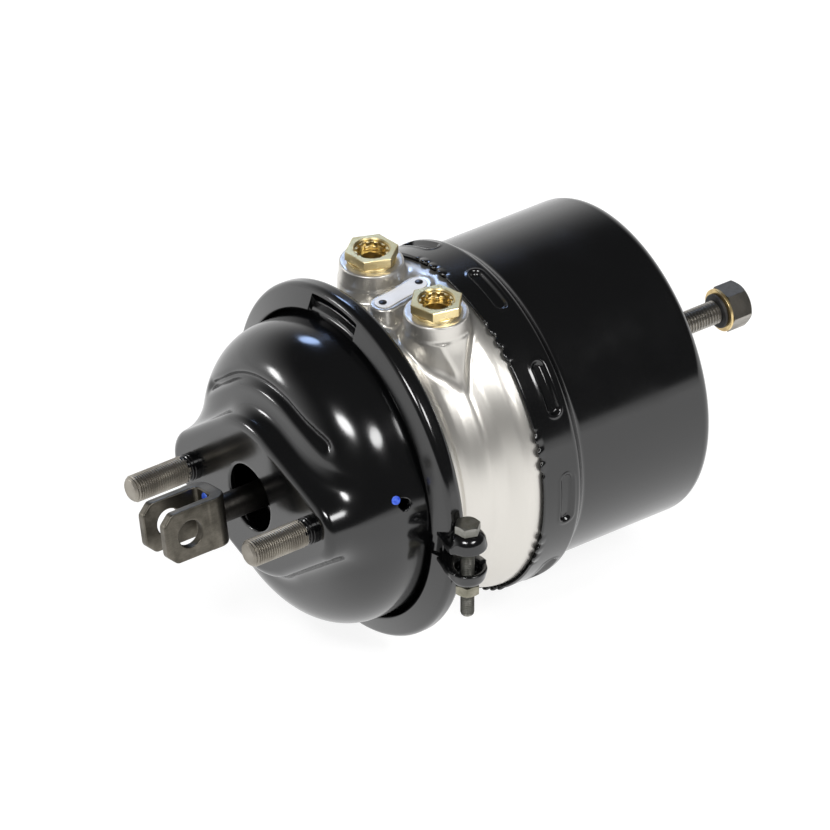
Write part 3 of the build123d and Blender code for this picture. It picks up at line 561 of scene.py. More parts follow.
def upright(x: float, y: float, z: float, turn: float = 0.0) -> Matrix:
    """Place that stands a mesh made about +X upright at a point, turned in degrees."""
    stand = Matrix(((0, 0, -1), (0, 1, 0), (1, 0, 0))).to_4x4()
    return Matrix.Translation((x, y, z)) @ Matrix.Rotation(math.radians(turn), 4, "Z") @ stand


def threads(start: float, end: float, radius: float, pitch: float) -> Outline:
    """Outline of a screw thread, for bar().

    Args:
        start: where the thread starts along X.
        end: where it ends.
        radius: outer radius of its crests.
        pitch: distance from crest to crest.

    Returns:
        Its roots and crests as (x, radius) points.
    """
    root, crest = radius - 0.60 * pitch, radius - 0.02
    turns = [start + k * pitch for k in range(int((end - start) / pitch))]
    rings = [(x + share * pitch, reach) for x in turns
             for share, reach in ((0.0, root), (0.12, root), (0.50, crest), (0.66, crest))]
    return [*rings, (end - 0.1, root)]


def hex_radius(across: float, steps: int) -> Points:
    """Reach of a hexagon at each of some even steps round it."""
    turn = np.arange(steps) / steps * 2 * math.pi
    return across / 2 / np.cos((turn + math.pi / 6) % (math.pi / 3) - math.pi / 6)


def hexagon(across: float, height: float, bore: float, crown: float = 0.9, foot: float = 0.6) -> Blank:
    """Hexagon about +X from 0 to its height, its corners turned off at both ends.

    Args:
        across: width across the flats.
        height: its height.
        bore: radius of the hole through it.
        crown: how much of each corner is turned off at the top.
        foot: the same at the bottom.

    Returns:
        The mesh.
    """
    radius = hex_radius(across, 144)
    start = across / 2 * 0.965
    fall = np.maximum(radius - start, 0) * math.tan(math.radians(30))
    return bar([(0, bore), (0, start), (fall * foot, radius), (height - fall * crown, radius),
                (height, start), (height, bore)], 144, True)


def soft_min(a: Points, b: Points, blend: float) -> Points:
    """Union of two distances with a fillet."""
    h = np.maximum(blend - np.abs(a - b), 0.0) / blend
    return np.minimum(a, b) - h * h * blend * 0.25


def soft_max(a: Points, b: Points, blend: float) -> Points:
    """Overlap of two distances with an eased edge."""
    return -soft_min(-a, -b, blend)


def round_meet(a: Points, b: Points, radius: float) -> Points:
    """Overlap of two distances whose edge has an exact radius."""
    u, v = a + radius, b + radius
    return np.minimum(np.maximum(u, v), 0.0) + np.hypot(np.maximum(u, 0.0), np.maximum(v, 0.0)) - radius


def slot_distance(a: Points, b: Points, length: float, width: float) -> Points:
    """Distance to a slot outline whose long side runs along a."""
    return np.hypot(np.maximum(np.abs(a) - (length - width) / 2, 0.0), b) - width / 2


def smooth(share: Points) -> Points:
    """Ease a share in and out."""
    return share * share * (3 - 2 * share)


def from_middle(angle: Points, middle: float) -> Points:
    """Angles in degrees measured from a middle one, the short way round."""
    return (angle - middle + 180) % 360 - 180


def skin(shape: Distance, low: Corner, high: Corner, cell: float) -> Blank:
    """Net a mesh over the surface where a distance is zero, with exact normals.

    Args:
        shape: distance to the surface in millimetres, negative inside.
        low: lowest corner of the space to search.
        high: highest corner.
        cell: size of the net.

    Returns:
        The mesh.
    """
    axes = [np.arange(a, b + cell, cell) for a, b in zip(low, high)]
    value = shape(*np.meshgrid(*axes, indexing="ij", sparse=True))
    counts = np.array(value.shape) - 1
    weight = np.zeros(counts.prod())
    total = np.zeros((counts.prod(), 3))
    edges = []
    for axis in range(3):
        ends = [slice(None)] * 3, [slice(None)] * 3
        ends[0][axis], ends[1][axis] = slice(None, -1), slice(1, None)
        a, b = value[tuple(ends[0])], value[tuple(ends[1])]
        spot = np.argwhere((a < 0) != (b < 0))
        first, last = a[tuple(spot.T)], b[tuple(spot.T)]
        cross = spot.astype(float)
        cross[:, axis] += first / (first - last)
        one, two = (axis + 1) % 3, (axis + 2) % 3
        ring, fits = [], np.ones(len(spot), bool)
        for step_one, step_two in ((0, 0), (-1, 0), (-1, -1), (0, -1)):
            cells = spot.copy()
            cells[:, one] += step_one
            cells[:, two] += step_two
            good = np.all((cells >= 0) & (cells < counts), axis=1)
            flat = np.ravel_multi_index(np.where(good[:, None], cells, 0).T, counts)
            weight += np.bincount(flat[good], minlength=len(weight))
            for k in range(3):
                total[:, k] += np.bincount(flat[good], cross[good, k], minlength=len(weight))
            ring.append(flat)
            fits &= good
        quad = np.stack(ring, 1)[fits]
        rising = (first < last)[fits]
        edges.append(np.where(rising[:, None], quad, quad[:, ::-1]))
    used = np.flatnonzero(weight)
    number = np.full(len(weight), -1)
    number[used] = np.arange(len(used))
    points = total[used] / weight[used, None] * cell + np.array(low)
    for _ in range(4):
        slope, here = gradient(shape, points)
        step = here / np.maximum(np.linalg.norm(slope, axis=1), 0.3) ** 2
        points = points - slope * np.clip(step, -cell / 2, cell / 2)[:, None]
    slope, _ = gradient(shape, points)
    normals = slope / np.maximum(np.linalg.norm(slope, axis=1), 1e-9)[:, None]
    return Blank(points, number[np.concatenate(edges)].tolist(), normals)


def gradient(shape: Distance, points: Points) -> tuple[Points, Points]:
    """Measure a distance and its slope.

    Args:
        shape: the distance.
        points: where it is measured.

    Returns:
        The slope and the value at each point.
    """
    step = 0.02
    slope = np.empty_like(points)
    for k in range(3):
        ahead, behind = points.copy(), points.copy()
        ahead[:, k] += step
        behind[:, k] -= step
        slope[:, k] = (shape(*ahead.T) - shape(*behind.T)) / (2 * step)
    return slope, shape(*points.T)


# ---------------------------------------------------------------- service chamber
@dataclass
class FrontHousing:
    """Pressed bowl with its raised stud pad, and the two studs through it."""

    spacing: float = 120.65
    clock: float = math.radians(-11.5)
    wall: float = 3.2
    dome_x: float = 13.0
    dome_r: float = 89.5
    dome_round: float = 34.0
    pad_mid: float = 48.0
    pad_lobe: float = 19.5
    pad_edge: float = 5.0
    draft: float = math.radians(9.0)
    foot_fillet: float = 9.0
    groove_at: float = 18.4
    groove_half: float = 2.9
    groove_depth: float = 3.6
    groove_reach: float = 60.0
    groove_side: float = 8.0
    groove_end_x: float = 30.0
    rod_hole: float = 20.0
    rod_hole_edge: float = 1.6
    pad_zone_x: float = 10.0
    rim_r: float = 98.0
    rim_front: float = 64.0
    rim_rear: float = 67.25
    rim_fillet: float = 4.0
    drain_x: float = 46.0
    drain_angle: float = math.radians(-73.0)
    drain_r: float = 3.3
    drain_zone: float = 60.0
    mark_ahead: float = 4.8
    mark_angle: float = math.radians(70.5)
    mark_lean: float = math.radians(-11.0)
    mark_r: float = 2.6
    stud_r: float = 8.0
    stud_out: float = 41.4
    stud_pitch: float = 1.5
    stud_point_r: float = 6.3
    thread_end: float = -4.6
    neck_in: float = 0.7
    groove_in: float = 0.35
    head_r: float = 11.0
    head_t: float = 5.0
    space: tuple[Corner, Corner] = ((-2, -100, -100), (69, 100, 100))
    net: float = 1.25

    def across(self, y: Points, z: Points) -> tuple[Points, Points]:
        """Coordinates along and across the line through the studs."""
        c, s = math.cos(self.clock), math.sin(self.clock)
        return y * c + z * s, z * c - y * s

    def pad_distance(self, u: Points, v: Points) -> Points:
        """Distance to the pad's outline: a disc with two lobes, hulled.

        Args:
            u: places along the line through the studs.
            v: places across it.

        Returns:
            The distances.
        """
        p, q, length = np.abs(v), np.abs(u), self.spacing / 2
        lean = (self.pad_mid - self.pad_lobe) / length
        rise = math.sqrt(1 - lean * lean)
        along = q * rise - p * lean
        side = p * rise + q * lean - self.pad_mid
        lobe = np.hypot(p, q - length) - self.pad_lobe
        return np.where(along < 0, np.hypot(p, q) - self.pad_mid, np.where(along > rise * length, lobe, side))

    def bowl(self, x: Points, y: Points, z: Points) -> Points:
        """Distance to the pressing's outer face, without its rim.

        Args:
            x: places along the chamber.
            y: places across it.
            z: heights.

        Returns:
            The distances.
        """
        u, v = self.across(y, z)
        outline = self.pad_distance(u, v)
        lean = (outline - np.maximum(x, 0) * math.tan(self.draft)) * math.cos(self.draft)
        pad = round_meet(lean, -x, self.pad_edge)
        dome = round_meet(np.hypot(y, z) - self.dome_r, self.dome_x - x, self.dome_round)
        past = (np.abs(u) - self.groove_reach) / 1.5
        reach = 1 / (1 + np.exp(past - np.minimum(v, self.groove_side) + self.groove_side))
        dip = np.exp(-((outline - self.groove_at) / self.groove_half) ** 2)
        front = 1 / (1 + np.exp((x - self.groove_end_x) / 2.0))
        return soft_min(pad, dome + self.groove_depth * dip * reach * front, self.foot_fillet)

    def shell(self, x: Points, y: Points, z: Points) -> Points:
        """Distance to the whole pressing.

        Args:
            x: places along the chamber.
            y: places across it.
            z: heights.

        Returns:
            The distances.
        """
        outer = self.bowl(x, y, z)
        radius = np.hypot(y, z)
        sheet = soft_max(outer, -(outer + self.wall), 1.0)
        sheet = soft_max(sheet, x - self.rim_rear, 0.6)
        rim = round_meet(radius - self.rim_r, np.maximum(self.rim_front - x, x - self.rim_rear), 0.5)
        sheet = soft_min(sheet, np.maximum(rim, self.dome_r - self.wall - radius), self.rim_fillet)
        pierced = soft_max(sheet, self.rod_hole - radius, self.rod_hole_edge)
        sheet = np.where(x < self.pad_zone_x, pierced, sheet)
        s, c = math.sin(self.drain_angle), math.cos(self.drain_angle)
        depth, side = y * s + z * c, y * c - z * s
        drain = self.drain_r - np.hypot(x - self.drain_x, side)
        return np.where(depth > self.drain_zone, soft_max(sheet, drain, 0.7), sheet)

    def stud(self) -> Blank:
        """Turn one stud along +X, its tip first.

        Returns:
            The stud.
        """
        r, tip, root, point = self.stud_r, -self.stud_out, self.thread_end, self.stud_point_r
        neck, groove, head = r - self.neck_in, r - self.groove_in, self.wall + self.head_t
        thread = [(x, min(reach, point + (x - tip - 0.3)))
                  for x, reach in threads(tip + 0.3, root, r, self.stud_pitch)]
        return bar([(tip, 0.0), (tip, point - 0.4), (tip + 0.25, point - 0.1), *thread,
                    (root + 0.2, neck), (root + 1.0, neck), (root + 1.5, r), (root + 2.4, r),
                    (root + 2.7, groove), (root + 3.1, groove), (root + 3.4, r), (self.wall, r),
                    (self.wall, self.head_r), (head, self.head_r), (head, 0.0)], 64)

    def dab(self) -> Blank:
        """Lay a dab of paint beside the drain hole, on the bowl's side.

        Returns:
            The dab.
        """
        r, turn = self.mark_r, self.mark_angle
        flat = bar([(-1.2, 0.0), (-1.2, r - 0.2), (0.1, r), (0.36, r - 0.9), (0.42, 0.0)], 28)
        x, reach = self.drain_x - self.mark_ahead, self.dome_r
        for _ in range(20):
            spot = (np.array([c]) for c in (x, -reach * math.sin(turn), reach * math.cos(turn)))
            reach -= float(self.bowl(*spot)[0])
        lean = Matrix.Rotation(self.mark_lean, 4, "Y")
        place = Matrix.Rotation(turn, 4, "X") @ Matrix.Translation((x, 0, reach)) @ lean
        return flat.moved(place @ upright(0, 0, 0))

    def build(self) -> None:
        """Stand the pressing, its studs and the paint dab."""
        skin(self.shell, *self.space, self.net).stand(
            "pressed_bowl", Body.CHAMBER, BLACK, ["front_housing"])
        u, v = self.spacing / 2 * math.cos(self.clock), self.spacing / 2 * math.sin(self.clock)
        one, other = (self.stud().moved(Matrix.Translation((0, side * u, side * v))) for side in (-1, 1))
        one.joined(other).stand("threaded_studs", Body.CHAMBER, STUDS, ["mounting_studs"], 28)
        self.dab().stand("drain_mark", Body.CHAMBER, BLUE)


@dataclass
class RodFork:
    """Push rod and the fork on its end."""

    tip: float = -65.0
    rear: float = -21.0
    gap: float = 16.2
    thick: float = 6.0
    thinned: float = 0.35
    thick_x: float = -35.5
    base: float = 8.0
    height: float = 30.5
    corner: float = 6.0
    bend: float = 9.0
    pin_r: float = 8.0
    pin_x: float = -48.5
    rod_r: float = 8.0
    rod_end: float = 84.5
    clock: float = FrontHousing.clock
    mark_y: float = -0.8
    mark_z: float = 11.0
    mark_r: float = 3.3
    space: tuple[Corner, Corner] = ((-66, -15.5, -16.5), (-20, 15.5, 16.5))
    net: float = 0.62

    def fork(self, x: Points, y: Points, z: Points) -> Points:
        """Distance to the bent strip, with its ears along X.

        Args:
            x: places along the ears.
            y: places across both ears.
            z: places across one ear.

        Returns:
            The distances.
        """
        side = np.abs(y)
        swell = self.thinned * np.clip((x - self.thick_x) / 1.2, 0, 1)
        outer = round_meet(side - self.gap / 2 - self.thick + self.thinned - swell, x - self.rear, self.bend)
        inner = round_meet(side - self.gap / 2, x - self.rear + self.base, self.bend - self.thick)
        strip = soft_max(outer, -inner, 0.5)
        edge = np.abs(z) - self.height / 2
        cut = (edge + self.corner + self.tip - x) * math.sqrt(0.5)
        strip = soft_max(strip, soft_max(edge, cut, 1.2), 1.2)
        strip = soft_max(strip, self.tip - x, 1.0)
        strip = soft_max(strip, self.pin_r - np.hypot(x - self.pin_x, z), 0.8)
        rod = np.where(x > self.thick_x + 0.5, self.rod_r - 0.6 - np.hypot(y, z), -9.0)
        return soft_max(strip, rod, 0.4)

    def build(self) -> None:
        """Stand the fork, the rod and the paint on the rod's end."""
        turn = Matrix.Rotation(self.clock, 4, "X")
        skin(self.fork, *self.space, self.net).moved(turn).stand(
            "rod_fork", Body.PUSH_ROD, FORK, ["clevis"])
        face = self.rear - self.base
        end, r = face - 2.0, self.rod_r
        rod = bar([(end, 0.0), (end, r - 1.4), (end + 1.2, r), (self.rod_end, r), (self.rod_end, 0.0)], 64)
        rod.stand("rod_bar", Body.PUSH_ROD, DARK_ROD, ["push_rod"])
        r = self.mark_r
        dab = bar([(face - 0.25, 0.0), (face - 0.2, r - 0.4), (face + 0.5, r), (face + 0.5, 0.0)], 32)
        dab.moved(turn @ Matrix.Translation((0, self.mark_y, self.mark_z))).stand(
            "fork_mark", Body.PUSH_ROD, BLUE)


@dataclass
class ClampRing:
    """Split V-section ring with two cupped ears, and the bolt that draws it shut."""

    mid_x: float = 68.8
    lip_r: float = 92.3
    top_r: float = 106.2
    lip_half: float = 9.8
    top_half: float = 4.6
    wall: float = 3.2
    gap: float = 13.8
    gap_z: float = -2.0
    gap_r: float = 99.0
    notch: tuple[float, float] = (-9.5, 16.5)
    notch_r: float = 102.4
    notch_ramp: float = 2.4
    bolt_y: float = -114.5
    ear_half: float = 11.4
    cup_h: float = 10.3
    cup_taper: float = 0.20
    cup_round: tuple[float, float] = (5.0, 2.4)
    tab_taper: float = 0.25
    tab_y: float = -108.0
    tab_root_y: float = -96.5
    bolt_r: float = 4.0
    bolt_point_r: float = 3.0
    bolt_len: float = 56.5
    bolt_plain: float = 11.8
    across: float = 13.0
    head_h: float = 5.5
    nut_h: float = 6.5
    pitch: float = 1.25
    slack: float = 0.05
    space: tuple[Corner, Corner] = ((56, -128, -1.5), (82, -95, 12.5))
    net: float = 0.6

    def slope(self) -> float:
        """How fast the section narrows outwards."""
        return (self.lip_half - self.top_half) / (self.top_r - self.lip_r)

    def section(self) -> Outline:
        """Draw the ring's cross-section.

        Returns:
            Its (x, radius) points.
        """
        slope = self.slope()
        skew = self.wall * math.hypot(1, slope)
        low, top = self.lip_half - skew, self.top_r - self.wall
        inner = low - slope * (top - self.lip_r)
        m, r = self.mid_x, self.lip_r
        flank = [(m - self.lip_half + slope * t, r + t) for t in (3.0, 5.5, 8.0)]
        back = [(m - low + slope * t, r + t) for t in (7.0, 4.5, 2.0)]
        return eased([(m - self.lip_half, r, 1.2), *flank, (m - self.top_half, self.top_r, 4.4),
                      (m + self.top_half, self.top_r, 4.4), (m + self.lip_half, r, 1.2), (m + low, r, 0.9),
                      (m + inner, top, 1.6), (m - inner, top, 1.6), *back, (m - low, r, 0.9)], 6)

    def ring(self) -> Blank:
        """Sweep the section round, open at the split and cut away at the notch.

        Returns:
            The ring, without its ears.
        """
        slope = self.slope()
        half = math.degrees(math.asin((self.gap / 2) / self.gap_r))
        middle = -90.0 + math.degrees(self.gap_z / self.gap_r)
        angles = np.radians(np.linspace(middle + half, middle + 360 - half, 500))
        section = np.array(self.section())
        grid = np.empty((len(angles), len(section), 3))
        near, far = (math.radians(a) for a in self.notch)
        for i, angle in enumerate(angles):
            x, r = section[:, 0].copy(), section[:, 1].copy()
            inside = min(angle - near, far - angle) * 100.0 / self.notch_ramp
            lip = self.lip_r + (self.notch_r - self.lip_r) * min(max(0.5 + inside, 0.0), 1.0)
            low = (x < self.mid_x) & (r < lip + 1.5)
            lifted = lip + (r - self.lip_r) * 1.5 / max(lip + 1.5 - self.lip_r, 1e-6)
            x = np.where(low, x + np.maximum(lifted - r, 0) * slope, x)
            r = np.where(low, np.maximum(lifted, r), r)
            grid[i] = np.stack([x, r * math.sin(angle), r * math.cos(angle)], -1)
        faces = weave(len(angles), len(section), False, True)
        last = len(angles) * len(section)
        faces += [list(range(len(section)))[::-1], list(range(last - len(section), last))]
        return Blank(grid.reshape(-1, 3), faces)

    def ear(self, x: Points, y: Points, z: Points) -> Points:
        """Distance to one ear: a tab from the ring with a cup pressed in it.

        Args:
            x: places along the chamber.
            y: places across it.
            z: heights away from the split.

        Returns:
            The distances.
        """
        radius = np.hypot(x - self.mid_x, y - self.bolt_y)
        cone = (radius - self.ear_half + np.clip(z, 0, 20) * self.cup_taper) * 0.98
        outer = round_meet(cone, z - self.cup_h, self.cup_round[0])
        inner = round_meet(cone + self.wall, z - self.cup_h + self.wall, self.cup_round[1])
        cup = soft_max(soft_max(outer, -inner, 1.2), -z, 1.6)
        narrowed = np.clip(y - self.tab_y, 0, 20) * self.tab_taper
        tab = round_meet(np.abs(x - self.mid_x) - self.ear_half + narrowed,
                         np.abs(z - self.wall / 2) - self.wall / 2, 1.4)
        tab = np.maximum(tab, np.maximum(self.bolt_y - y, y - self.tab_root_y))
        tab = soft_max(tab, -(cone + self.wall), 0.8)
        return soft_max(soft_min(tab, cup, 4.0), self.bolt_r + 0.3 - radius, 0.4)

    def build(self) -> None:
        """Stand the ring with its ears, the bolt and the nut."""
        lug = skin(self.ear, *self.space, self.net)
        upper, lower = self.gap_z + self.gap / 2, self.gap_z - self.gap / 2
        up = lug.moved(Matrix.Translation((0, 0, upper)))
        flip = Blank(lug.points * (1, 1, -1), [face[::-1] for face in lug.faces])
        down = flip.moved(Matrix.Translation((0, 0, lower)))
        self.ring().joined(up, down).stand("split_clamp_ring", Body.CHAMBER, BLACK, ["clamp_ring"], 50)
        top, r, point = upper + self.cup_h + self.slack, self.bolt_r, self.bolt_point_r
        low, plain = top - self.bolt_len, top - self.bolt_plain
        thread = [(x, min(reach, point + (x - low) * 0.8))
                  for x, reach in threads(low + 0.1, plain - 0.2, r, self.pitch)]
        outline = [(low, 0.0), (low, point - 0.1), *thread, (plain, r), (top + 0.4, r), (top + 0.4, 0.0)]
        shank = bar(outline, 48).moved(upright(self.mid_x, self.bolt_y, 0))
        head = hexagon(self.across, self.head_h, 0.0, 1.0, 0.0)
        head = head.moved(upright(self.mid_x, self.bolt_y, top, 12))
        shank.joined(head).stand("clamp_screw", Body.CHAMBER, BOLT, ["clamp_bolt"], 30, 0.18)
        nut_foot = lower - self.cup_h - self.slack - self.nut_h
        nut = hexagon(self.across, self.nut_h, r - 0.5, 1.0, 1.0)
        nut.moved(upright(self.mid_x, self.bolt_y, nut_foot, 24)).stand(
            "clamp_screw_nut", Body.CHAMBER, NUT, ["clamp_nut"], 30, 0.18)


# ---------------------------------------------------------------- centre casting
@dataclass
class CentreCasting:
    """Aluminium casting between both chambers, with port bosses and the label's seat."""

    profile: tuple[tuple[float, float], ...] = (
        (70.3, 98.0), (74.5, 97.0), (77.5, 92.4), (81.0, 89.9), (85.0, 88.9), (87.0, 87.2), (92.0, 86.6),
        (98.0, 86.9), (104.0, 88.1), (108.0, 87.8), (114.0, 90.2), (119.0, 94.0), (123.0, 96.9),
        (126.5, 98.1), (131.0, 98.45), (153.0, 98.45))
    front_x: float = 70.35
    tail_x: float = 153.0
    wave: float = 0.5
    waves: int = 5
    wave_x: float = 97.0
    cavity_r: float = 85.0
    cavity_x: float = 73.0
    web: tuple[float, float] = (97.0, 114.0)
    web_r: float = 66.0
    bush_r: float = 22.65
    port_x: float = 106.0
    port_y: float = 31.5
    boss_r: float = 18.4
    boss_top: float = 103.0
    boss_foot: float = 60.0
    boss_taper: float = 0.035
    boss_fillet: float = 4.5
    wedge_reach: float = 26.0
    wedge_top: float = 92.0
    wedge_fall: float = 2.7
    wedge_tip: float = 1.2
    socket_r: float = 12.1
    socket_depth: float = 15.9
    seat_top: float = 98.0
    seat_len: float = 43.0
    seat_width: float = 16.0
    seat_turn: float = math.radians(10.5)
    seat_x: float = 104.0
    seat_taper: float = 0.22
    space: tuple[Corner, Corner] = ((69, -100, -100), (155, 100, 105))
    net: float = 1.35

    def waist(self, x: Points) -> Points:
        """Outer radius of the casting at each station, with its rolled channel.

        Args:
            x: places along the chamber.

        Returns:
            The radii, eased over a few millimetres.
        """
        stations, radii = zip(*self.profile)
        return sum(np.interp(x + shift, stations, radii) for shift in (-1.2, -0.6, 0.0, 0.6, 1.2)) / 5

    def wedge(self, x: Points, out: Points, z: Points) -> Points:
        """Distance to the pointed skirt that runs from a boss down to the waist.

        Args:
            x: places along the chamber from the boss's axis.
            out: places away from the boss's axis, round the chamber.
            z: heights.

        Returns:
            The distances.
        """
        radius = self.boss_r + 0.25
        lean = (radius - self.wedge_tip) / self.wedge_reach
        rise = math.sqrt(1 - lean * lean)
        along, side = out * rise - np.abs(x) * lean, np.abs(x) * rise + out * lean - radius
        point = np.hypot(x, out - self.wedge_reach) - self.wedge_tip
        tail = np.where(along > rise * self.wedge_reach, point, side)
        tear = np.where(along < 0, np.hypot(x, out) - radius, tail)
        top = ((out - self.boss_r) * self.wedge_fall + z - self.wedge_top) / math.hypot(1, self.wedge_fall)
        capped = soft_max(soft_max(tear, top, 2.0), z - self.wedge_top, 1.0)
        return np.maximum(capped, self.boss_foot - z)

    def hollow(self, x: Points, radius: Points) -> Points:
        """Distance to the cavities before and behind the web.

        Args:
            x: places along the chamber.
            radius: places away from its axis.

        Returns:
            The distances.
        """
        near, far = self.web
        cone = np.interp(x, (self.cavity_x, near), (self.cavity_r, self.web_r))
        front = np.maximum(radius - cone, x - near)
        rear = np.maximum(radius - self.cavity_r, far - x)
        return np.minimum(np.minimum(front, rear), radius - self.bush_r)

    def casting(self, x: Points, y: Points, z: Points) -> Points:
        """Distance to the casting.

        Args:
            x: places along the chamber.
            y: places across it.
            z: heights.

        Returns:
            The distances.
        """
        radius, turn = np.hypot(y, z), np.arctan2(y, z)
        wave = self.wave * np.sin(turn * self.waves + 0.6) * np.exp(-((x - self.wave_x) / 8.0) ** 2)
        turned = (radius - self.waist(x)) * 0.86 + wave
        turned = np.maximum(turned, np.maximum(self.front_x - x, x - self.tail_x))
        side = np.abs(y) - self.port_y
        spot = np.hypot(x - self.port_x, side)
        taper = np.clip(self.boss_top - z, 0, 40) * self.boss_taper
        boss = round_meet(spot - self.boss_r - taper, z - self.boss_top, 1.1)
        boss = np.maximum(boss, self.boss_foot - z)
        boss = soft_min(boss, self.wedge(x - self.port_x, side, z), 2.5)
        c, s = math.cos(self.seat_turn), math.sin(self.seat_turn)
        along, over = (x - self.seat_x) * c + y * s, y * c - (x - self.seat_x) * s
        flare = np.clip(self.seat_top - z, 0, 12) * self.seat_taper
        oval = slot_distance(along, over, self.seat_len, self.seat_width) - flare
        seat = np.maximum(round_meet(oval, z - self.seat_top, 0.9), self.boss_foot - z)
        body = soft_min(soft_min(turned, boss, self.boss_fillet), seat, 3.0)
        body = np.maximum(body, -self.hollow(x, radius))
        socket = np.maximum(spot - self.socket_r, self.boss_top - self.socket_depth - z)
        return soft_max(body, -socket, 0.5)

    def build(self) -> None:
        """Stand the casting."""
        skin(self.casting, *self.space, self.net).stand(
            "centre_casting", Body.CHAMBER, CASTING, ["intermediate_flange"])


@dataclass
class AirPort:
    """Brass insert with a hexagon, a round collar and toothed rings in its bore."""

    side: int
    node: str
    turn: float
    x: float = CentreCasting.port_x
    y: float = CentreCasting.port_y
    base: float = CentreCasting.boss_top
    collar_r: float = 14.2
    collar_h: float = 1.8
    collar_edge: float = 0.3
    across: float = 27.0
    hex_h: float = 5.8
    hex_edge: float = 0.35
    bore: float = 9.8
    mouth: float = 7.0
    thread_r: float = 12.0
    depth: float = 16.0
    step_r: float = 6.5
    teeth: int = 12
    upper_ring: tuple[float, float, float, float] = (-3.3, -1.5, 1.5, 0.0)
    lower_ring: tuple[float, float, float, float] = (-6.6, -4.4, 1.55, 0.15)

    def insert(self) -> Blank:
        """Turn the hexagon, its collar and the body in the casting.

        Returns:
            The insert, its collar's foot at the origin.
        """
        radius, edge, ease = hex_radius(self.across, 192), self.hex_edge, self.collar_edge
        low, top, r = self.collar_h, self.collar_h + self.hex_h, self.collar_r
        rows = [(-self.depth, self.step_r), (-self.depth, self.thread_r), (0.0, self.thread_r),
                (0.0, r - ease), (ease, r), (low - ease, r), (low, r - ease), (low, radius - edge),
                (low + edge, radius), (top - edge, radius), (top, radius - edge), (top, self.bore + 0.9),
                (top - 0.7, self.bore + 0.15), (top - self.mouth, self.bore), (top - self.mouth, self.step_r)]
        return bar(rows, 192, True)

    def teeth_ring(self, low: float, high: float, reach: float, shift: float) -> Blank:
        """Shape a ring of rounded teeth in the bore.

        Args:
            low: its foot, from the hexagon's top.
            high: its top, from the same.
            reach: how far the teeth reach in.
            shift: how far it is turned, as a share of a tooth.

        Returns:
            The ring.
        """
        steps, top = 240, self.collar_h + self.hex_h
        turn = np.arange(steps) / steps * self.teeth
        wave = smooth(np.clip(0.5 + 1.5 * np.cos((turn + shift) * 2 * math.pi), 0, 1))
        outer, inner = self.bore - 0.05, self.bore - 0.25 - (reach - 0.25) * wave
        low, high = top + low, top + high
        return bar([(low, outer), (low, inner + 0.25), (low + 0.25, inner), (high - 0.25, inner),
                    (high, inner + 0.25), (high, outer)], steps, True)

    def place(self) -> Matrix:
        """Place of the insert's foot, on top of its boss."""
        return upright(self.x, self.side * self.y, self.base, self.turn)

    def build(self) -> Blank:
        """Stand the insert.

        Returns:
            Its two toothed rings, still to be stood.
        """
        self.insert().moved(self.place()).stand(
            f"port_insert_{self.node}", Body.CHAMBER, BRASS, [f"port_fitting_{self.node}"], 24, 0.16)
        upper, lower = self.teeth_ring(*self.upper_ring), self.teeth_ring(*self.lower_ring)
        return upper.joined(lower).moved(self.place())


@dataclass
class LabelPlate:
    """Blank oval plate held down by two drive rivets."""

    length: float = 38.0
    width: float = 11.0
    thick: float = 0.8
    x: float = CentreCasting.seat_x
    z: float = CentreCasting.seat_top
    turn: float = CentreCasting.seat_turn
    spacing: float = 29.0
    pin_r: float = 1.6
    pin_len: float = 3.0
    rivet_r: float = 2.3
    rivet_h: float = 0.75
    space: tuple[Corner, Corner] = ((-20, -6.5, -0.6), (20, 6.5, 1.4))
    net: float = 0.3

    def plate(self, x: Points, y: Points, z: Points) -> Points:
        """Distance to the plate, slightly dished and with an eased edge.

        Args:
            x: places along the plate.
            y: places across it.
            z: heights above its seat.

        Returns:
            The distances.
        """
        oval = slot_distance(x, y, self.length, self.width)
        lift = 0.10 * np.exp(-((oval + 1.0) / 0.55) ** 2)
        return round_meet(oval, np.abs(z - self.thick / 2) - self.thick / 2 + 0.12 - lift, 0.25)

    def build(self) -> None:
        """Stand the plate and its rivets."""
        place = Matrix.Translation((self.x, 0, self.z)) @ Matrix.Rotation(self.turn, 4, "Z")
        skin(self.plate, *self.space, self.net).moved(place).stand(
            "label_plate", Body.CHAMBER, PLATE, ["nameplate"])
        top, r = self.thick, self.rivet_r
        head = [(-self.pin_len, 0.0), (-self.pin_len, self.pin_r), (top, self.pin_r), (top, r),
                (top + 0.25, r), (top + self.rivet_h * 0.85, r * 0.62), (top + self.rivet_h, 0.0)]
        rivets = [bar(head, 32).moved(place @ upright(side * self.spacing / 2, 0, 0)) for side in (-1, 1)]
        rivets[0].joined(rivets[1]).stand("label_rivets", Body.CHAMBER, RIVET, ["nameplate_rivets"])


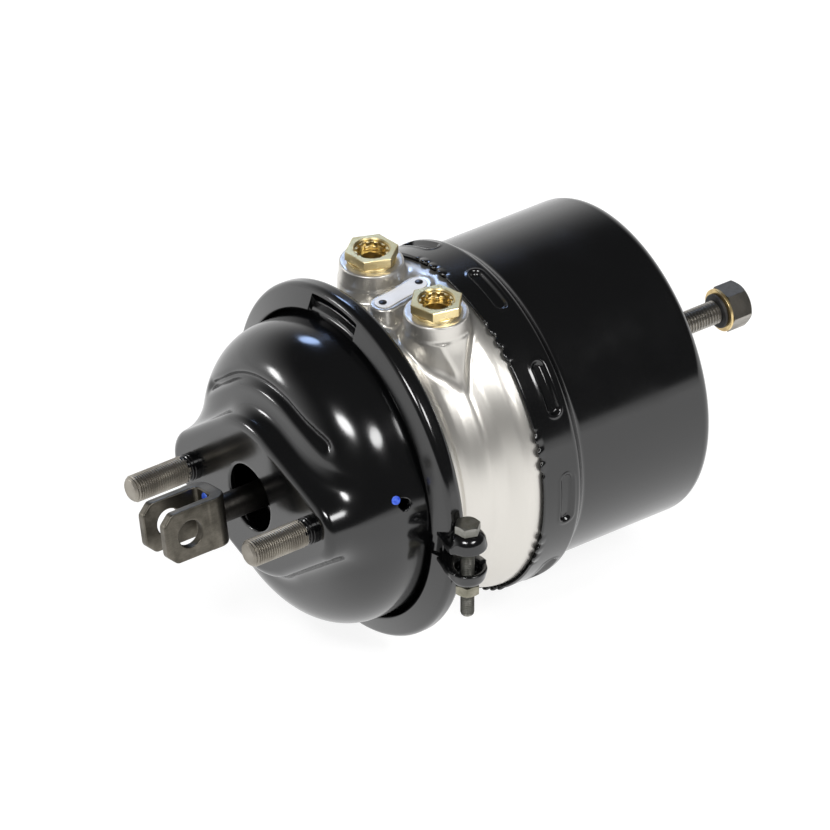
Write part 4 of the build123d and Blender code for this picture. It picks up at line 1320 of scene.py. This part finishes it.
# ---------------------------------------------------------------- parking chamber
@dataclass
class SpringCylinder:
    """Pressed cylinder with a widened skirt, long dimples and a crimped edge."""

    skirt_x: float = 131.0
    skirt_r: float = 101.5
    skirt_end: float = 155.5
    shell_x: float = 162.0
    shell_r: float = 95.2
    wall: float = 3.0
    rear_x: float = 254.0
    rear_round: float = 7.0
    hole_r: float = 15.85
    dimples: int = 9
    first: float = 24.7
    pitch: float = 38.6
    dimple_x: float = 147.0
    dimple_len: float = 31.0
    dimple_width: float = 6.6
    dimple_depth: float = 2.3
    lip_height: float = 0.34
    crimp: float = 2.35
    bites: tuple[tuple[float, float, float], ...] = (
        (-1.0, 1.3, 0.9), (1.0, 1.5, 0.9), (0.0, -0.9, 1.3), (-2.0, -0.8, 1.3), (2.0, -0.9, 1.3),
        (3.1, 0.9, 0.8), (-3.1, 1.1, 0.8))
    columns: int = 1200

    def edge(self, angle: Points) -> Points:
        """How far the skirt's front edge is bitten back by the crimping tool.

        Args:
            angle: places round the edge, in degrees.

        Returns:
            The depths, below nought where the edge is pushed forwards.
        """
        bite = np.zeros_like(angle)
        for k in range(self.dimples):
            off = from_middle(angle, self.first - self.pitch * (k + 0.5))
            for place, depth, half in self.bites:
                bite += depth * np.exp(-np.abs((off - place * self.crimp) / half) ** 3)
        return bite

    def dip(self, x: Points, angle: Points) -> Points:
        """Depth of the dimples at each place on the skirt.

        Args:
            x: places along the chamber.
            angle: places round it, in degrees.

        Returns:
            The depths, below nought on the raised lip round a dimple.
        """
        depth = np.zeros(np.broadcast(x, angle).shape)
        for k in range(self.dimples):
            arc = np.radians(from_middle(angle, self.first - self.pitch * k)) * self.skirt_r
            outline = slot_distance(arc, x - self.dimple_x, self.dimple_len, self.dimple_width)
            depth += self.dimple_depth * smooth(np.clip(0.5 - outline / 2.2, 0, 1))
            depth -= self.lip_height * np.exp(-((outline - 1.7) / 0.9) ** 2)
        return depth

    def rings(self) -> tuple[Points, Points]:
        """Follow the outer face from the skirt's edge to the rear wall's hole.

        Returns:
            Its stations and radii, close together where the dimples are.
        """
        profile = eased([(self.skirt_x, self.skirt_r - self.wall), (self.skirt_x, self.skirt_r, 1.0),
                         (self.skirt_end, self.skirt_r, 4.2), (self.shell_x, self.shell_r, 5.5),
                         (self.rear_x, self.shell_r, self.rear_round), (self.rear_x, self.hole_r + 1.4, 1.2),
                         (self.rear_x - self.wall, self.hole_r)], 8)[1:-1]
        outline = [profile[0]]
        for x, r in profile[1:]:
            x0, r0 = outline[-1]
            step = 0.55 if self.skirt_x <= x0 < self.skirt_end and r0 > self.shell_r + 2 else 9.0
            count = max(1, math.ceil(math.hypot(x - x0, r - r0) / step))
            outline += [(x0 + (x - x0) * k / count, r0 + (r - r0) * k / count) for k in range(1, count + 1)]
        points = np.array(outline)
        return points[:, 0], points[:, 1]

    def shell(self) -> Blank:
        """Skin the whole cylinder, its inner face a wall's thickness inside the outer one.

        Returns:
            The cylinder.
        """
        x, r = self.rings()
        slope = np.stack([np.gradient(x), np.gradient(r)], 1)
        slope /= np.linalg.norm(slope, axis=1)[:, None]
        back = slice(None, None, 4)
        inner_x = np.clip((x + slope[:, 1] * self.wall)[back][::-1], self.skirt_x, None)
        inner_r = np.maximum((r - slope[:, 0] * self.wall)[back][::-1], self.hole_r)
        angle = np.arange(self.columns) / self.columns * 360.0
        bite = self.edge(angle)
        rows = []
        for station, radius in zip([*x, *inner_x], [*r, *inner_r]):
            near = max(0.0, 1 - (station - self.skirt_x) / 4.0)
            place = station + bite * near * near
            dip = self.dip(place, angle) if station < self.skirt_end - 1 else 0.0
            flare = near * (0.6 * np.clip(-bite, 0, None) - 0.3 * np.clip(bite, 0, None))
            rows.append((place, radius - dip + flare))
        return bar(rows, self.columns, True)

    def build(self) -> None:
        """Stand the cylinder."""
        self.shell().stand("pressed_cylinder", Body.CHAMBER, BLACK, ["spring_cylinder"], 55)


@dataclass
class ReleaseScrew:
    """Release bolt with its pinned nut, washer and seal, and the bush that it turns in."""

    radius: float = 7.0
    head_x: float = 178.5
    head_r: float = 13.0
    head_t: float = 6.0
    thread_x: float = 196.0
    end_x: float = 344.0
    pitch: float = 2.0
    nut_x: float = 330.0
    nut_h: float = 14.0
    across: float = 24.0
    washer_r: float = 12.9
    washer_t: float = 1.8
    seal_r: float = 10.4
    seal_t: float = 2.3
    pin_r: float = 2.0
    pin_bore: float = 1.15
    bush_r: float = 15.8
    bush_x: tuple[float, float] = (246.0, 261.0)
    flange_r: float = 21.0
    flange_x: float = 250.95

    def screw(self) -> Blank:
        """Turn the bolt, its head first.

        Returns:
            The bolt.
        """
        r, head, reach, end = self.radius, self.head_x, self.head_r, self.end_x
        return bar([(head, 0.0), (head, reach - 1.0), (head + 1.0, reach), (head + self.head_t, reach),
                    (head + self.head_t, r), (self.thread_x, r),
                    *threads(self.thread_x + 0.3, end - 1.3, r, self.pitch),
                    (end - 1.2, r - 0.5), (end - 0.1, r - 1.5), (end, 0.0)], 64)

    def pin(self) -> Blank:
        """Roll the hollow pin that goes through the nut.

        Returns:
            The pin, upright in the nut.
        """
        reach, r, ease = self.across / 2 - 0.15, self.pin_r, 0.3
        rows = [(-reach, self.pin_bore), (-reach, r - ease), (ease - reach, r), (reach - ease, r),
                (reach, r - ease), (reach, self.pin_bore)]
        return bar(rows, 40, True).moved(upright(self.nut_x + self.nut_h / 2, 0, 0))

    def build(self) -> None:
        """Stand every piece of the release bolt."""
        self.screw().stand("release_screw", Body.RELEASE, SCREW, ["release_bolt"], 28)
        nut = hexagon(self.across, self.nut_h - 0.1, self.radius - 0.4, 1.25, 0.15)
        nut.moved(Matrix.Translation((self.nut_x + 0.05, 0, 0))).stand(
            "pinned_nut", Body.RELEASE, PINNED_NUT, ["release_nut"], 30, 0.22)
        self.pin().stand("spring_pin", Body.RELEASE, BRIGHT, ["roll_pin"])
        hole, end, r = self.radius - 0.3, self.nut_x, self.washer_r
        x = end - self.washer_t
        lathe([(x, hole), (x, r, 0.4), (end, r, 0.4), (end, hole)]).stand(
            "plated_washer", Body.RELEASE, YELLOW_ZINC, ["release_washer"])
        low, top, r = x - self.seal_t, x - 0.05, self.seal_r
        lathe([(low, hole), (low, r, 1.0), (top, r, 0.6), (top, hole)]).stand(
            "seal_collar", Body.RELEASE, RUBBER, ["release_seal"])
        (front, rear), hole, step = self.bush_x, self.radius + 0.05, self.flange_x
        lathe([(front, hole), (front, self.flange_r, 0.6), (step, self.flange_r), (step, self.bush_r),
               (rear, self.bush_r, 1.2), (rear, hole, 0.8)]).stand(
            "screw_bush", Body.CHAMBER, BRIGHT, ["release_bush"])


@dataclass
class InnerWorks:
    """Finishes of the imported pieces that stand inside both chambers."""

    finishes: dict[str, Finish] = field(default_factory=lambda: {
        "diaphragm": RUBBER, "pressure_plate": BLACK, "return_spring": SPRING, "power_spring": SPRING,
        "tube_guide_bush": NYLON, "tube_seal": RUBBER, "cylinder_seal": RUBBER, "spring_piston": CASTING,
        "piston_seal": RUBBER, "piston_guide_ring": NYLON, "piston_tube": BRIGHT, "tube_end_cap": NYLON,
        "thrust_bearing": BRIGHT})

    def build(self) -> None:
        """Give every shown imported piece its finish."""
        for name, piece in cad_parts.items():
            finish = self.finishes.get(name, BLACK)
            piece.data.materials.clear()
            piece.data.materials.append(finish.material())
            LOG.info("%s: packed piece in %s", name, finish.name)


# ---------------------------------------------------------------- studio
@dataclass
class Softbox:
    """A soft round lamp aimed at the chamber."""

    name: str
    towards: tuple[float, float, float]
    distance: float
    width: float
    height: float
    radiance: float
    colour: Colour = (1.0, 1.0, 1.0)
    shines: bool = True
    mirrored: bool = True

    def build(self, target: Vector) -> None:
        """Hang the lamp.

        Args:
            target: the point that it looks at.
        """
        light = bpy.data.lights.new(self.name, "AREA")
        light.shape = "ELLIPSE"
        light.size, light.size_y = self.width, self.height
        light.energy = self.radiance * math.pi * self.width * self.height
        light.color = self.colour
        lamp = bpy.data.objects.new(self.name, light)
        direction = Vector(self.towards).normalized()
        lamp.location = target + direction * self.distance
        lamp.rotation_euler = direction.to_track_quat("Z", "Y").to_euler()
        lamp.visible_diffuse, lamp.visible_glossy = self.shines, self.mirrored
        bpy.context.scene.collection.objects.link(lamp)


@dataclass
class Studio:
    """Pale floor, soft lamps, surroundings and the camera."""

    floor_size: float = 30.0
    floor_z: float = -0.1085
    tint: tuple[float, float] = (0.24, 0.28)
    glow: float = 0.86
    haze: float = 0.42
    shadow: float = 0.27
    dim_behind: float = 0.05
    dim_before: float = 0.06
    lens: float = 390.75
    spot: tuple[float, float, float] = (-2.3101, -3.4398, 2.8981)
    azimuth: float = math.radians(-35.17)
    elevation: float = math.radians(34.45)
    middle: tuple[float, float, float] = (0.12, 0.0, 0.0)
    lamps: tuple[Softbox, ...] = (
        Softbox("key_box", (-0.54, -0.36, 0.76), 2.6, 0.95, 0.55, 15.0),
        Softbox("side_box", (0.13, -0.67, 0.70), 2.6, 1.0, 0.62, 10.0),
        Softbox("back_box", (0.28, 0.70, 0.66), 2.6, 0.75, 0.50, 8.0, (0.45, 0.62, 1.0), shines=False),
        Softbox("top_box", (-0.40, 0.62, 0.68), 2.8, 0.9, 0.6, 5.0, mirrored=False),
        Softbox("left_box", (-0.68, 0.68, 0.27), 2.8, 0.6, 0.34, 14.0),
        Softbox("front_fill", (0.40, -0.85, 0.34), 2.6, 1.4, 1.4, 2.4, mirrored=False),
    )

    def floor(self) -> None:
        """Lay the floor."""
        size, z = self.floor_size, self.floor_z
        mesh = bpy.data.meshes.new("studio_floor")
        corners = [(-size, -size, z), (size, -size, z), (size, size, z), (-size, size, z)]
        mesh.from_pydata(corners, [], [(0, 1, 2, 3)])
        floor = bpy.data.objects.new("studio_floor", mesh)
        bpy.context.scene.collection.objects.link(floor)
        recipe = Recipe("pale_studio_floor")
        seen = recipe.seen()
        dull, pale, shade = ((grey, grey, grey) for grey in (*self.tint, self.shadow))
        tint = recipe.mixed(recipe.level(recipe.noise(3.0, 3), 0.3, 0.7), dull, pale)
        recipe.give("Base Color", recipe.mixed(seen, tint, shade))
        recipe.give("Emission Strength", recipe.maths("MULTIPLY", seen, self.glow))
        recipe.shader.inputs["Emission Color"].default_value = (1.0, 1.0, 1.0, 1.0)
        recipe.fix(roughness=0.9, specular=0.0)
        recipe.material.cycles.emission_sampling = "NONE"
        mesh.materials.append(recipe.material)

    def surroundings(self) -> None:
        """Pale horizon that darkens upwards, slowly behind the chamber and fast in front of it."""
        world = bpy.data.worlds.new("studio_surroundings")
        bpy.context.scene.world = world
        world.use_nodes = True
        sheet = NodeSheet(world.node_tree, "Generated")
        way = sheet.put("ShaderNodeSeparateXYZ", {}, {0: sheet.place}).outputs
        path = sheet.put("ShaderNodeLightPath", {}, {}).outputs
        behind = sheet.level(way["Y"], -0.2, 0.6)
        fast = sheet.level(way["Z"], 0.0, 0.07, 1.0, self.dim_before)
        slow = sheet.level(way["Z"], 0.02, 0.72, 1.0, self.dim_behind)
        mirrored = sheet.between(behind, fast, slow)
        thrown = sheet.between(path["Is Diffuse Ray"], mirrored, self.haze)
        strength = sheet.between(path["Is Camera Ray"], thrown, 1.0)
        background = sheet.tree.nodes["Background"]
        sheet.tree.links.new(strength, background.inputs["Strength"])
        background.inputs["Color"].default_value = (1.0, 1.0, 1.0, 1.0)

    def camera(self) -> None:
        """Set up the camera."""
        a, e = self.azimuth, self.elevation
        right = Vector((math.cos(a), math.sin(a), 0))
        back = Vector((math.sin(a) * math.cos(e), -math.cos(a) * math.cos(e), math.sin(e)))
        up = back.cross(right)
        turn = Matrix((right, up, back)).transposed().to_4x4()
        data = bpy.data.cameras.new("studio_camera")
        data.lens, data.sensor_width = self.lens, 36.0
        data.clip_start, data.clip_end = 0.1, 100.0
        camera = bpy.data.objects.new("studio_camera", data)
        camera.matrix_world = Matrix.Translation(self.spot) @ turn
        bpy.context.scene.collection.objects.link(camera)
        bpy.context.scene.camera = camera

    def build(self) -> None:
        """Stand the whole studio."""
        self.floor()
        self.surroundings()
        self.camera()
        for lamp in self.lamps:
            lamp.build(Vector(self.middle))
        bpy.context.scene.view_settings.view_transform = "Standard"


def main() -> None:
    """Build the chamber piece by piece, then the studio."""
    logging.basicConfig(level=logging.INFO, format="%(message)s")
    InnerWorks().build()
    FrontHousing().build()
    RodFork().build()
    ClampRing().build()
    CentreCasting().build()
    ports = [AirPort(-1, "service", 18.0), AirPort(1, "parking", 9.0)]
    first, second = (port.build() for port in ports)
    first.joined(second).stand("port_teeth", Body.CHAMBER, BRASS, ["port_collets"], 30)
    LabelPlate().build()
    SpringCylinder().build()
    ReleaseScrew().build()
    Studio().build()


if __name__ == "__main__":
    main()
